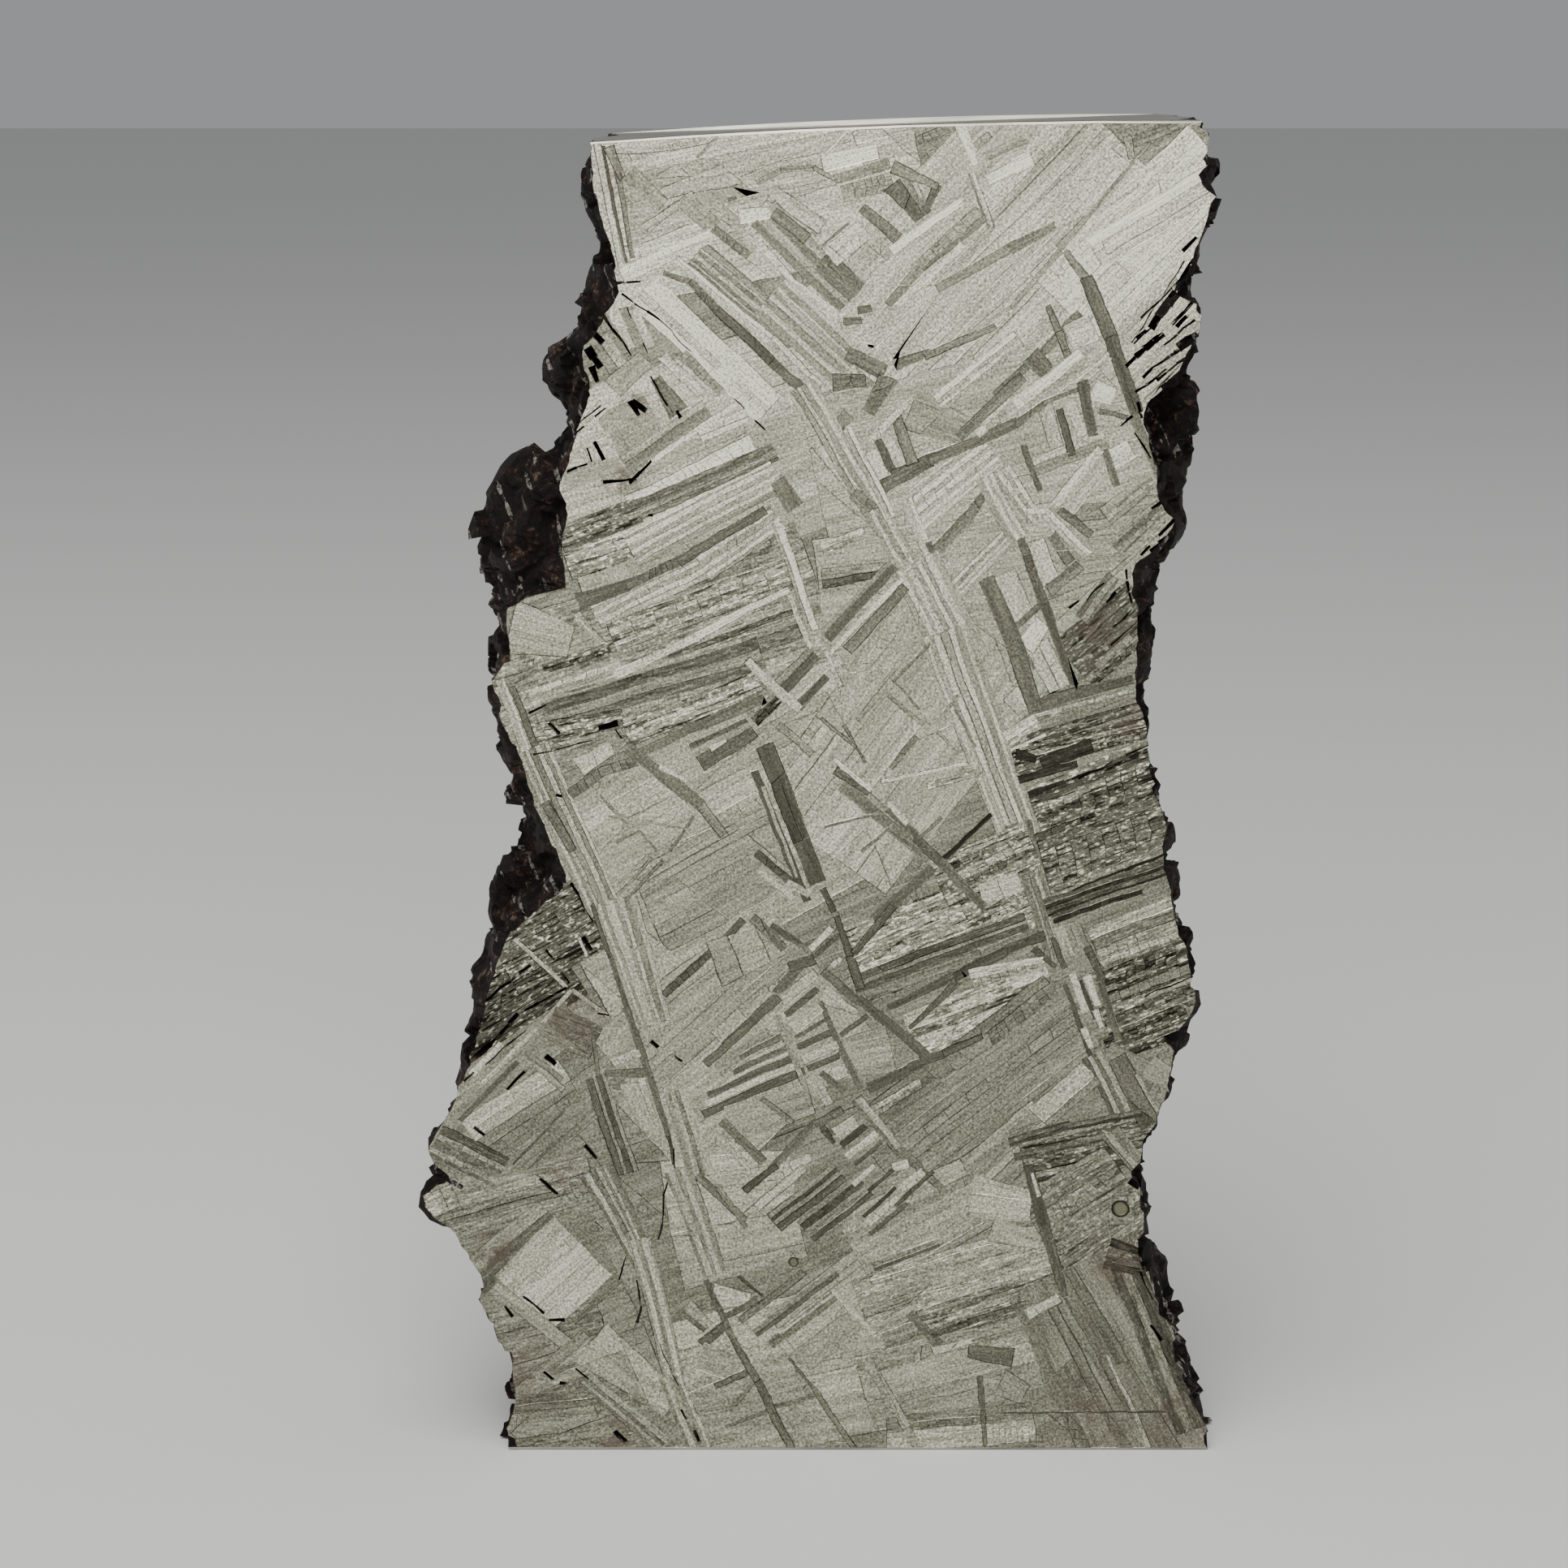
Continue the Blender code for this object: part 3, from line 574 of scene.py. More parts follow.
    ((-3.0, 33.2), (-1.9, 34.2), 0.90, 0.80, 0.46, 0.6, 2),
    ((0.2, 36.1), (0.9, 34.6), 0.25, 0.20, 0.86, 0.0, 1),
    ((3.1, 34.8), (4.7, 36.5), 0.12, 0.12, 0.54, 0.0, 1),
    ((3.2, 34.8), (4.3, 33.6), 0.10, 0.12, 0.58, 0.0, 1),
    ((2.9, 34.2), (4.4, 32.9), 0.20, 0.20, 0.64, 0.0, 1),
    ((2.6, 34.3), (1.6, 33.1), 0.25, 0.20, 0.66, 0.0, 1),
    ((1.0, 32.9), (1.9, 31.2), 0.12, 0.12, 0.56, 0.0, 1),
    ((0.0, 33.2), (1.5, 31.9), 0.14, 0.12, 0.62, 0.0, 1),
    ((5.0, 33.0), (6.0, 34.2), 0.16, 0.14, 0.62, 0.0, 1),
    ((5.8, 33.6), (6.7, 31.9), 0.12, 0.10, 0.54, 0.0, 1),
    ((3.0, 31.0), (4.1, 32.4), 0.25, 0.25, 0.54, 0.0, 1),
    ((-1.8, 32.9), (-0.4, 31.6), 0.34, 0.30, 0.66, 0.0, 1),
    ((1.0, 30.4), (4.6, 27.2), 0.90, 0.60, 0.59, 0.0, 2),
    ((0.6, 30.9), (2.1, 29.9), 0.34, 0.30, 0.48, 0.0, 1),
    ((2.9, 29.2), (4.2, 28.0), 0.30, 0.34, 0.50, 0.0, 1),
    ((0.5, 31.4), (2.2, 30.0), 0.20, 0.22, 0.97, 0.0, 1),
    ((2.9, 29.5), (3.8, 28.5), 0.22, 0.34, 0.92, 0.0, 1),
    ((2.6, 30.4), (6.8, 31.3), 0.14, 0.12, 0.92, 0.0, 1),
    ((4.6, 30.2), (7.0, 30.9), 0.30, 0.30, 0.68, 0.8, 1),
    ((0.2, 28.4), (2.6, 29.0), 0.12, 0.10, 0.57, 0.0, 1),
    ((1.8, 27.3), (3.2, 28.5), 0.12, 0.10, 0.57, 0.0, 1),
    ((4.3, 27.9), (5.2, 28.8), 0.16, 0.16, 0.53, 0.0, 1),
    ((5.2, 25.8), (9.2, 27.6), 2.40, 2.20, 0.61, 0.8, 6),
    ((7.0, 25.4), (8.7, 25.9), 1.00, 0.90, 0.83, 0.0, 1),
    ((4.1, 27.9), (5.2, 26.9), 0.42, 0.40, 0.42, 0.0, 1),
    ((5.2, 26.9), (7.2, 24.8), 0.46, 0.36, 0.50, 0.0, 1),
    ((2.3, 24.3), (4.9, 26.6), 0.46, 0.45, 0.46, 0.0, 1),
    ((5.4, 27.0), (7.4, 29.0), 0.20, 0.22, 0.12, 0.0, 1),
    ((-2.8, 27.3), (-1.1, 25.8), 0.34, 0.34, 0.41, 0.0, 1),
    ((-2.7, 26.6), (-1.2, 25.2), 0.40, 0.28, 0.81, 0.0, 1),
    ((-2.9, 30.9), (-0.6, 25.1), 0.36, 0.36, 0.36, 0.0, 1),
    ((-2.45, 32.0), (-0.1, 25.9), 0.80, 0.78, 0.40, 0.0, 1),
    ((-2.55, 30.2), (-1.05, 26.2), 0.20, 0.16, 0.76, 0.0, 1),
    ((-1.5, 26.0), (-0.5, 25.4), 0.30, 0.30, 0.77, 0.0, 1),
    ((0.1, 25.7), (0.6, 24.6), 0.30, 0.26, 0.36, 0.0, 1),
    # The left edge's steep bundle and the arch beside it.
    ((-13.9, 34.9), (-12.3, 30.2), 0.38, 0.40, 0.84, 0.0, 2),
    ((-13.4, 34.6), (-12.0, 30.8), 0.30, 0.34, 0.50, 0.0, 1),
    ((-12.6, 31.9), (-9.4, 24.6), 1.60, 1.50, 0.72, 0.0, 8),
    ((-9.0, 25.2), (-7.2, 19.6), 1.90, 1.40, 0.74, 0.0, 8),
    ((-12.0, 29.5), (-10.8, 27.3), 0.44, 0.40, 0.53, 0.0, 1),
    ((-10.5, 31.0), (-9.0, 31.9), 0.90, 0.50, 0.84, 0.0, 1),
    ((-10.9, 29.8), (-9.5, 30.8), 0.50, 0.46, 0.52, 0.0, 1),
    ((-9.6, 30.8), (-8.0, 31.3), 0.46, 0.40, 0.54, 0.0, 1),
    ((-8.2, 31.5), (-5.0, 33.0), 0.36, 0.44, 0.52, 0.0, 1),
    ((-5.1, 32.9), (-2.4, 34.2), 0.50, 0.66, 0.50, 0.0, 1),
    ((-5.4, 31.4), (-3.0, 32.8), 1.40, 1.00, 0.58, 0.1, 3),
    ((-8.3, 31.9), (-5.1, 29.3), 0.50, 0.60, 0.53, 0.0, 1),
    ((-7.0, 31.1), (-5.8, 30.4), 0.24, 0.12, 0.95, 0.0, 1),
    ((-4.8, 31.8), (-4.1, 32.2), 0.30, 0.10, 0.92, 0.0, 1),
    ((-5.2, 29.4), (-4.2, 28.0), 0.50, 0.36, 0.61, 0.0, 1),
    ((-8.6, 25.1), (-6.9, 26.9), 0.14, 0.14, 0.53, 0.0, 1),
    ((-8.9, 25.4), (-7.4, 27.0), 0.12, 0.12, 0.59, 0.0, 1),
    ((-6.6, 27.3), (-5.5, 28.9), 0.14, 0.14, 0.53, 0.0, 1),
    ((-9.6, 29.8), (-8.3, 28.4), 0.12, 0.12, 0.61, 0.0, 1),
    ((-8.9, 27.7), (-7.9, 28.2), 0.12, 0.12, 0.59, 0.0, 1),
    ((-7.9, 28.2), (-7.1, 27.2), 0.12, 0.12, 0.59, 0.0, 1),
    ((-9.2, 28.9), (-5.6, 28.3), 0.10, 0.10, 0.64, 0.0, 1),
    # The middle left.
    ((-10.55, 23.5), (-10.2, 22.6), 0.15, 0.15, 0.88, 0.0, 1),
    ((-9.95, 25.0), (-9.2, 22.6), 0.20, 0.20, 0.42, 0.0, 1),
    ((-9.2, 22.6), (-8.4, 20.2), 0.20, 0.26, 0.46, 0.0, 1),
    ((-8.5, 20.4), (-7.5, 17.2), 0.36, 0.30, 0.52, 0.0, 1),
    ((-7.5, 17.2), (-6.7, 14.6), 0.30, 0.28, 0.50, 0.0, 1),
    ((-6.7, 14.6), (-6.45, 13.2), 0.20, 0.14, 0.36, 0.0, 1),
    ((-6.8, 20.9), (-3.4, 24.3), 0.32, 0.34, 0.43, 0.0, 1),
    ((-13.4, 23.4), (-11.1, 21.2), 0.20, 0.20, 0.81, 0.0, 1),
    ((-10.9, 21.1), (-9.3, 19.9), 0.20, 0.20, 0.76, 0.0, 1),
    ((-15.0, 16.8), (-12.4, 19.4), 0.28, 0.24, 0.79, 0.0, 1),
    ((-15.4, 17.3), (-14.0, 18.7), 0.30, 0.30, 0.88, 0.0, 1),
    ((-15.9, 15.2), (-13.3, 17.9), 0.24, 0.24, 0.50, 0.0, 1),
    ((-12.2, 19.6), (-10.9, 21.1), 0.24, 0.22, 0.81, 0.0, 1),
    ((-11.9, 19.6), (-9.9, 18.7), 1.70, 1.60, 0.55, 0.3, 1),
    ((-12.9, 18.3), (-11.4, 17.0), 0.28, 0.28, 0.57, 0.0, 1),
    ((-12.6, 17.7), (-11.3, 16.6), 0.24, 0.28, 0.73, 0.0, 1),
    ((-17.0, 14.3), (-14.1, 12.8), 1.60, 1.60, 0.57, 0.3, 5),
    ((-13.6, 13.2), (-11.3, 15.6), 0.10, 0.10, 0.42, 0.0, 1),
    ((-12.9, 13.0), (-10.9, 14.9), 0.08, 0.10, 0.46, 0.0, 1),
    ((-10.0, 18.9), (-9.8, 17.2), 0.22, 0.20, 0.46, 0.0, 1),
    ((-9.9, 17.2), (-8.5, 12.8), 0.90, 1.00, 0.52, 0.1, 4),
    ((-9.5, 17.35), (-7.7, 17.4), 0.28, 0.45, 0.50, 0.0, 1),
    ((-9.2, 17.8), (-7.9, 18.3), 0.30, 0.34, 0.81, 0.0, 1),
    ((-8.3, 17.0), (-7.5, 14.9), 1.15, 0.80, 0.81, 0.0, 1),
    ((-6.4, 16.6), (-5.2, 12.6), 1.00, 1.20, 0.71, 0.0, 4),
    # The middle.
    ((-4.7, 22.3), (-1.8, 23.4), 2.20, 1.60, 0.69, 0.0, 1),
    ((-3.0, 24.4), (-1.6, 22.9), 0.40, 0.40, 0.55, 0.0, 1),
    ((-2.2, 24.0), (-0.95, 23.1), 0.34, 0.30, 0.43, 0.0, 1),
    ((-1.9, 20.9), (-0.9, 22.2), 0.50, 0.50, 0.48, 0.0, 1),
    ((-1.4, 22.1), (-0.3, 22.5), 0.46, 0.46, 0.42, 0.0, 1),
    ((-1.7, 20.6), (-0.2, 21.9), 0.50, 0.45, 0.81, 0.0, 1),
    ((-1.5, 20.0), (-0.1, 21.2), 0.34, 0.30, 0.43, 0.0, 1),
    ((-0.3, 22.6), (0.8, 23.6), 0.24, 0.20, 0.43, 0.0, 1),
    ((-0.5, 22.9), (0.5, 23.9), 0.32, 0.30, 0.92, 0.0, 1),
    ((0.7, 24.4), (1.3, 22.6), 0.24, 0.34, 0.42, 0.0, 1),
    ((1.25, 22.7), (1.8, 21.2), 0.40, 0.46, 0.43, 0.0, 1),
    ((1.4, 22.8), (3.2, 24.9), 0.32, 0.40, 0.43, 0.0, 1),
    ((0.5, 22.2), (0.9, 22.6), 0.30, 0.20, 0.88, 0.0, 1),
    ((0.1, 22.0), (1.8, 20.6), 0.38, 0.40, 0.48, 0.0, 1),
    ((1.7, 20.8), (4.7, 18.1), 0.40, 0.46, 0.43, 0.0, 1),
    ((0.1, 21.0), (1.7, 20.1), 0.90, 0.20, 0.81, 0.0, 1),
    ((0.9, 18.0), (3.1, 18.5), 1.80, 2.20, 0.70, 0.0, 1),
    ((0.0, 20.6), (0.9, 18.5), 0.24, 0.28, 0.50, 0.0, 1),
    ((0.9, 18.5), (1.8, 16.6), 0.28, 0.30, 0.50, 0.0, 1),
    ((-1.2, 19.4), (0.0, 20.4), 0.55, 0.50, 0.81, 0.0, 1),
    ((-1.1, 19.0), (0.4, 19.9), 0.16, 0.16, 0.46, 0.0, 1),
    ((0.9, 19.1), (2.1, 20.0), 0.20, 0.20, 0.43, 0.0, 1),
    ((-1.0, 18.6), (0.4, 19.2), 0.32, 0.30, 0.43, 0.0, 1),
    ((-0.8, 18.0), (0.8, 18.7), 0.46, 0.45, 0.83, 0.0, 1),
    ((-0.6, 17.6), (0.9, 18.2), 0.30, 0.30, 0.43, 0.0, 1),
    ((0.2, 17.2), (1.2, 17.5), 0.80, 0.50, 0.81, 0.0, 1),
    ((0.0, 17.4), (1.1, 16.5), 0.28, 0.30, 0.46, 0.0, 1),
    ((-0.1, 16.9), (0.4, 15.9), 0.50, 0.40, 0.79, 0.0, 1),
    ((-4.6, 19.0), (-2.2, 21.1), 0.70, 0.60, 0.77, 0.0, 1),
    ((-5.1, 17.8), (-1.8, 20.8), 0.40, 0.44, 0.43, 0.0, 1),
    ((-4.6, 17.5), (-2.2, 19.3), 0.80, 0.70, 0.67, 0.0, 1),
    ((-3.6, 18.1), (-1.6, 19.1), 0.20, 0.26, 0.48, 0.0, 1),
    ((-3.1, 18.0), (-1.5, 18.8), 0.12, 0.14, 0.85, 0.0, 1),
    ((-3.9, 17.4), (-1.4, 18.6), 0.24, 0.24, 0.46, 0.0, 1),
    ((-4.2, 17.0), (-1.2, 18.4), 0.14, 0.16, 0.88, 0.0, 1),
    ((-5.0, 16.4), (-1.1, 18.15), 0.32, 0.32, 0.43, 0.0, 1),
    ((-5.1, 16.0), (-1.0, 17.85), 0.26, 0.28, 0.88, 0.0, 1),
    ((-5.2, 15.5), (-0.7, 17.5), 0.38, 0.42, 0.42, 0.0, 1),
    ((-1.9, 20.0), (-0.9, 17.3), 0.28, 0.25, 0.69, 0.0, 1),
    ((-0.9, 17.3), (-0.3, 15.9), 0.30, 0.32, 0.69, 0.0, 1),
    ((3.0, 20.3), (6.2, 21.9), 0.32, 0.52, 0.42, 0.0, 1),
    ((5.9, 21.7), (8.2, 22.9), 0.45, 0.48, 0.36, 0.0, 1),
    ((8.1, 22.9), (9.8, 23.6), 0.50, 0.42, 0.40, 0.0, 1),
    ((9.3, 23.0), (10.3, 22.2), 0.34, 0.22, 0.43, 0.0, 1),
    ((3.9, 19.4), (6.0, 21.5), 0.20, 0.38, 0.46, 0.0, 1),
    ((6.6, 21.6), (9.8, 22.4), 0.90, 0.50, 0.76, 0.4, 2),
    ((2.1, 16.7), (4.0, 17.6), 0.44, 0.45, 0.42, 0.0, 1),
    ((3.9, 17.6), (5.5, 18.3), 0.42, 0.42, 0.42, 0.0, 1),
    ((5.4, 18.3), (7.1, 19.1), 0.40, 0.24, 0.46, 0.0, 1),
    ((2.3, 15.6), (4.4, 16.9), 0.50, 0.40, 0.71, 0.5, 2),
    ((-4.0, 15.0), (-0.4, 16.2), 1.80, 1.40, 0.69, 0.0, 1),
    ((-2.6, 16.2), (-1.2, 15.1), 0.26, 0.26, 0.57, 0.0, 1),
    ((-4.4, 15.2), (-2.5, 13.3), 0.40, 0.40, 0.52, 0.0, 1),
    ((-4.7, 14.7), (-3.1, 13.0), 0.30, 0.30, 0.79, 0.0, 1),
    ((-2.2, 13.0), (-0.1, 15.2), 0.34, 0.30, 0.46, 0.0, 1),
    ((-0.2, 15.0), (1.0, 15.7), 0.34, 0.30, 0.50, 0.0, 1),
    ((1.6, 16.2), (3.6, 13.8), 0.50, 0.44, 0.64, 0.0, 2),
    ((3.4, 14.0), (5.6, 11.9), 0.40, 0.30, 0.55, 0.0, 1),
    ((0.7, 14.6), (1.6, 15.2), 0.62, 0.60, 0.85, 0.0, 1),
    ((0.1, 15.0), (0.6, 14.2), 0.28, 0.20, 0.40, 0.0, 1),
    ((0.9, 14.1), (2.0, 15.0), 0.28, 0.30, 0.34, 0.0, 1),
    ((1.1, 13.6), (2.5, 14.7), 0.34, 0.36, 0.89, 0.0, 1),
    ((1.5, 13.2), (2.7, 14.3), 0.18, 0.20, 0.42, 0.0, 1),
    ((3.2, 13.1), (3.9, 13.3), 0.44, 0.40, 0.91, 0.0, 1),
    ((-1.3, 13.1), (-0.4, 13.6), 0.46, 0.40, 0.85, 0.0, 1),
    # The white slivers and the dark plates at the right.
    ((10.4, 24.0), (10.9, 22.6), 0.55, 0.50, 0.76, 0.0, 1),
    ((11.1, 24.1), (11.5, 23.1), 0.46, 0.46, 0.65, 0.0, 1),
    ((10.15, 23.5), (10.7, 22.1), 0.22, 0.26, 0.42, 0.0, 1),
    ((11.6, 23.1), (12.3, 21.5), 0.34, 0.36, 0.42, 0.0, 1),
    ((10.7, 21.4), (11.9, 18.0), 0.22, 0.20, 0.40, 0.0, 1),
    ((12.1, 21.7), (13.1, 18.8), 0.34, 0.34, 0.46, 0.0, 1),
    ((11.0, 21.9), (11.6, 20.1), 0.30, 0.34, 0.91, 0.0, 1),
    ((11.6, 21.8), (12.1, 20.4), 0.38, 0.30, 0.91, 0.0, 1),
    ((11.35, 21.6), (12.0, 19.8), 0.14, 0.18, 0.34, 0.0, 1),
    ((11.5, 19.4), (11.9, 18.5), 0.34, 0.24, 0.89, 0.0, 1),
    ((12.0, 20.2), (12.3, 19.4), 0.34, 0.24, 0.85, 0.0, 1),
    ((12.2, 22.3), (16.2, 23.8), 0.26, 0.26, 0.77, 0.4, 1),
    ((11.9, 18.2), (13.4, 15.3), 0.90, 0.90, 0.61, 0.0, 4),
    ((13.0, 18.1), (14.6, 15.0), 0.85, 1.00, 0.46, 0.0, 1),
    ((13.9, 17.3), (14.9, 15.6), 0.18, 0.18, 0.71, 0.0, 1),
    ((14.4, 17.7), (15.5, 17.0), 1.10, 0.90, 0.69, 0.0, 1),
    ((9.7, 15.3), (11.9, 17.4), 1.30, 1.20, 0.70, 0.2, 2),
    ((8.3, 14.2), (11.0, 15.0), 0.44, 0.40, 0.40, 0.3, 3),
    ((10.9, 14.9), (14.2, 15.6), 0.34, 0.34, 0.41, 0.2, 2),
    ((8.6, 13.5), (12.6, 14.4), 0.34, 0.30, 0.42, 0.3, 2),
    ((12.8, 14.7), (14.5, 12.6), 0.90, 0.80, 0.64, 0.0, 3),
    # The foot, from left to right.
    # The shiny lump at the far left is a flat plate; part of its brightness is a painted highlight.
    ((-17.5, 11.2), (-16.1, 11.8), 1.10, 1.10, 0.76, 0.5, 1),
    ((-13.2, 6.85), (-10.5, 9.45), 3.50, 3.70, 0.82, 0.0, 1),
    ((-11.0, 6.0), (-8.8, 8.0), 0.28, 0.28, 0.54, 0.0, 1),
    ((-14.5, 7.6), (-11.2, 4.9), 0.60, 0.60, 0.72, 0.0, 1),
    ((-12.6, 3.4), (-10.4, 5.4), 0.60, 0.60, 0.62, 0.0, 1),
    ((-10.2, 5.0), (-6.6, 2.1), 2.30, 1.30, 0.78, 0.0, 1),
    ((-10.5, 3.3), (-7.0, 0.2), 0.80, 0.80, 0.62, 0.1, 4),
    ((-9.9, 13.0), (-7.6, 8.4), 1.60, 1.00, 0.67, 0.1, 7),
    ((-8.0, 9.8), (-6.2, 2.0), 1.00, 0.90, 0.74, 0.0, 5),
    ((-6.7, 3.4), (-5.3, -0.2), 1.00, 1.10, 0.72, 0.0, 4),
    ((-6.3, 13.0), (-4.6, 8.2), 1.20, 1.00, 0.69, 0.0, 5),
    ((-5.4, 12.7), (-3.3, 10.6), 0.34, 0.30, 0.53, 0.0, 1),
    ((-4.5, 12.2), (-3.3, 10.3), 0.24, 0.20, 0.57, 0.0, 1),
    ((-3.3, 12.0), (-1.9, 13.2), 0.34, 0.30, 0.40, 0.0, 1),
    ((-2.0, 10.5), (0.8, 12.9), 1.00, 1.00, 0.50, 0.1, 4),
    ((-0.6, 10.1), (2.0, 12.3), 1.20, 1.20, 0.50, 0.1, 4),
    ((-2.8, 11.2), (-0.7, 13.1), 0.40, 0.42, 0.83, 0.0, 1),
    ((1.9, 10.8), (3.4, 12.2), 0.18, 0.18, 0.32, 0.0, 1),
    ((2.1, 10.5), (3.5, 11.7), 0.36, 0.38, 0.85, 0.0, 1),
    ((2.2, 10.0), (3.9, 11.4), 0.20, 0.20, 0.43, 0.0, 1),
    ((1.4, 12.3), (2.4, 13.2), 0.26, 0.26, 0.89, 0.0, 1),
    ((2.1, 12.0), (3.3, 13.0), 0.20, 0.20, 0.38, 0.0, 1),
    ((3.4, 11.3), (5.0, 12.9), 0.20, 0.20, 0.40, 0.0, 1),
    ((3.6, 12.1), (4.6, 12.9), 0.38, 0.42, 0.89, 0.0, 1),
    ((2.4, 8.5), (5.2, 9.6), 0.40, 0.40, 0.52, 0.0, 2),
    ((-3.6, 6.0), (-0.7, 8.3), 0.36, 0.34, 0.55, 0.0, 1),
    ((-2.9, 5.4), (0.7, 8.3), 0.44, 0.44, 0.51, 0.0, 2),
    ((-2.2, 4.9), (0.9, 7.4), 0.46, 0.46, 0.56, 0.0, 1),
    ((-1.8, 5.4), (0.8, 7.4), 0.13, 0.13, 0.84, 0.0, 1),
    ((-6.0, 6.7), (-5.0, 5.7), 0.80, 0.60, 0.58, 0.2, 2),
    ((-5.3, 4.9), (-4.1, 5.9), 0.46, 0.42, 0.46, 0.0, 1),
    ((-4.7, 7.2), (-3.1, 7.0), 1.10, 0.60, 0.85, 0.0, 1),
    ((-4.2, 6.2), (-2.8, 7.0), 0.28, 0.36, 0.48, 0.0, 1),
    ((-3.6, 8.1), (-2.6, 7.2), 0.14, 0.10, 0.36, 0.0, 1),
    ((-5.4, 4.4), (-3.2, 3.6), 1.30, 1.20, 0.71, 0.0, 1),
    ((-4.7, 3.0), (-3.1, 3.7), 0.28, 0.34, 0.52, 0.0, 1),
    ((-4.0, 1.9), (-3.0, 3.1), 0.18, 0.20, 0.50, 0.0, 1),
    ((-4.2, 1.1), (-2.2, 1.9), 0.16, 0.20, 0.56, 0.0, 1),
    ((-2.2, 2.0), (0.1, 2.6), 0.20, 0.20, 0.54, 0.0, 1),
    ((-5.0, 7.9), (-4.0, 5.4), 0.24, 0.28, 0.50, 0.0, 1),
    ((-4.0, 5.4), (-2.8, 3.2), 0.28, 0.40, 0.50, 0.0, 1),
    ((-2.8, 3.2), (-1.1, -0.2), 0.40, 0.34, 0.52, 0.0, 1),
    ((-1.4, 4.3), (-0.3, 2.9), 0.12, 0.12, 0.52, 0.0, 1),
    ((-0.3, 2.9), (1.7, -0.2), 0.24, 0.24, 0.57, 0.0, 1),
    ((0.6, 7.5), (2.3, 5.4), 0.36, 0.30, 0.76, 0.0, 1),
    ((2.2, 4.2), (4.3, 0.2), 0.46, 0.36, 0.71, 0.0, 1),
    ((4.0, 6.4), (5.3, 4.9), 0.46, 0.46, 0.52, 0.0, 1),
    ((5.0, 4.6), (6.8, 5.1), 0.46, 0.26, 0.86, 0.0, 1),
    ((5.0, 5.3), (9.2, 6.9), 0.30, 0.26, 0.44, 0.3, 1),
    ((9.2, 6.3), (10.7, 7.1), 0.46, 0.44, 0.84, 0.0, 1),
    ((6.7, 11.7), (9.3, 11.3), 2.00, 1.40, 0.78, 0.0, 1),
    ((7.6, 10.3), (9.8, 9.6), 1.20, 0.70, 0.76, 0.0, 1),
    ((9.2, 13.1), (9.9, 10.4), 0.40, 0.62, 0.38, 0.0, 1),
    ((9.9, 10.4), (10.9, 7.1), 0.50, 0.34, 0.46, 0.0, 1),
    ((9.35, 12.8), (9.7, 11.7), 0.15, 0.24, 0.89, 0.0, 1),
    ((12.7, 9.2), (14.6, 8.6), 1.50, 1.10, 0.38, 0.4, 3),
    ((12.8, 11.1), (13.9, 11.1), 1.30, 1.30, 0.61, 0.3, 1),
    ((6.6, 4.6), (8.6, 4.3), 0.60, 0.90, 0.50, 0.0, 1),
    ((7.1, 3.5), (7.4, 0.2), 0.30, 0.20, 0.52, 0.0, 1),
    ((8.0, 3.2), (9.2, 2.6), 1.20, 0.90, 0.64, 0.1, 1),
    ((12.8, 4.4), (13.9, 2.1), 0.14, 0.20, 0.84, 0.0, 1),
    ((13.9, 2.1), (14.7, 0.1), 0.20, 0.24, 0.76, 0.0, 1),
    ((8.3, 1.8), (15.6, 1.8), 0.06, 0.06, 0.36, 0.0, 1),
]

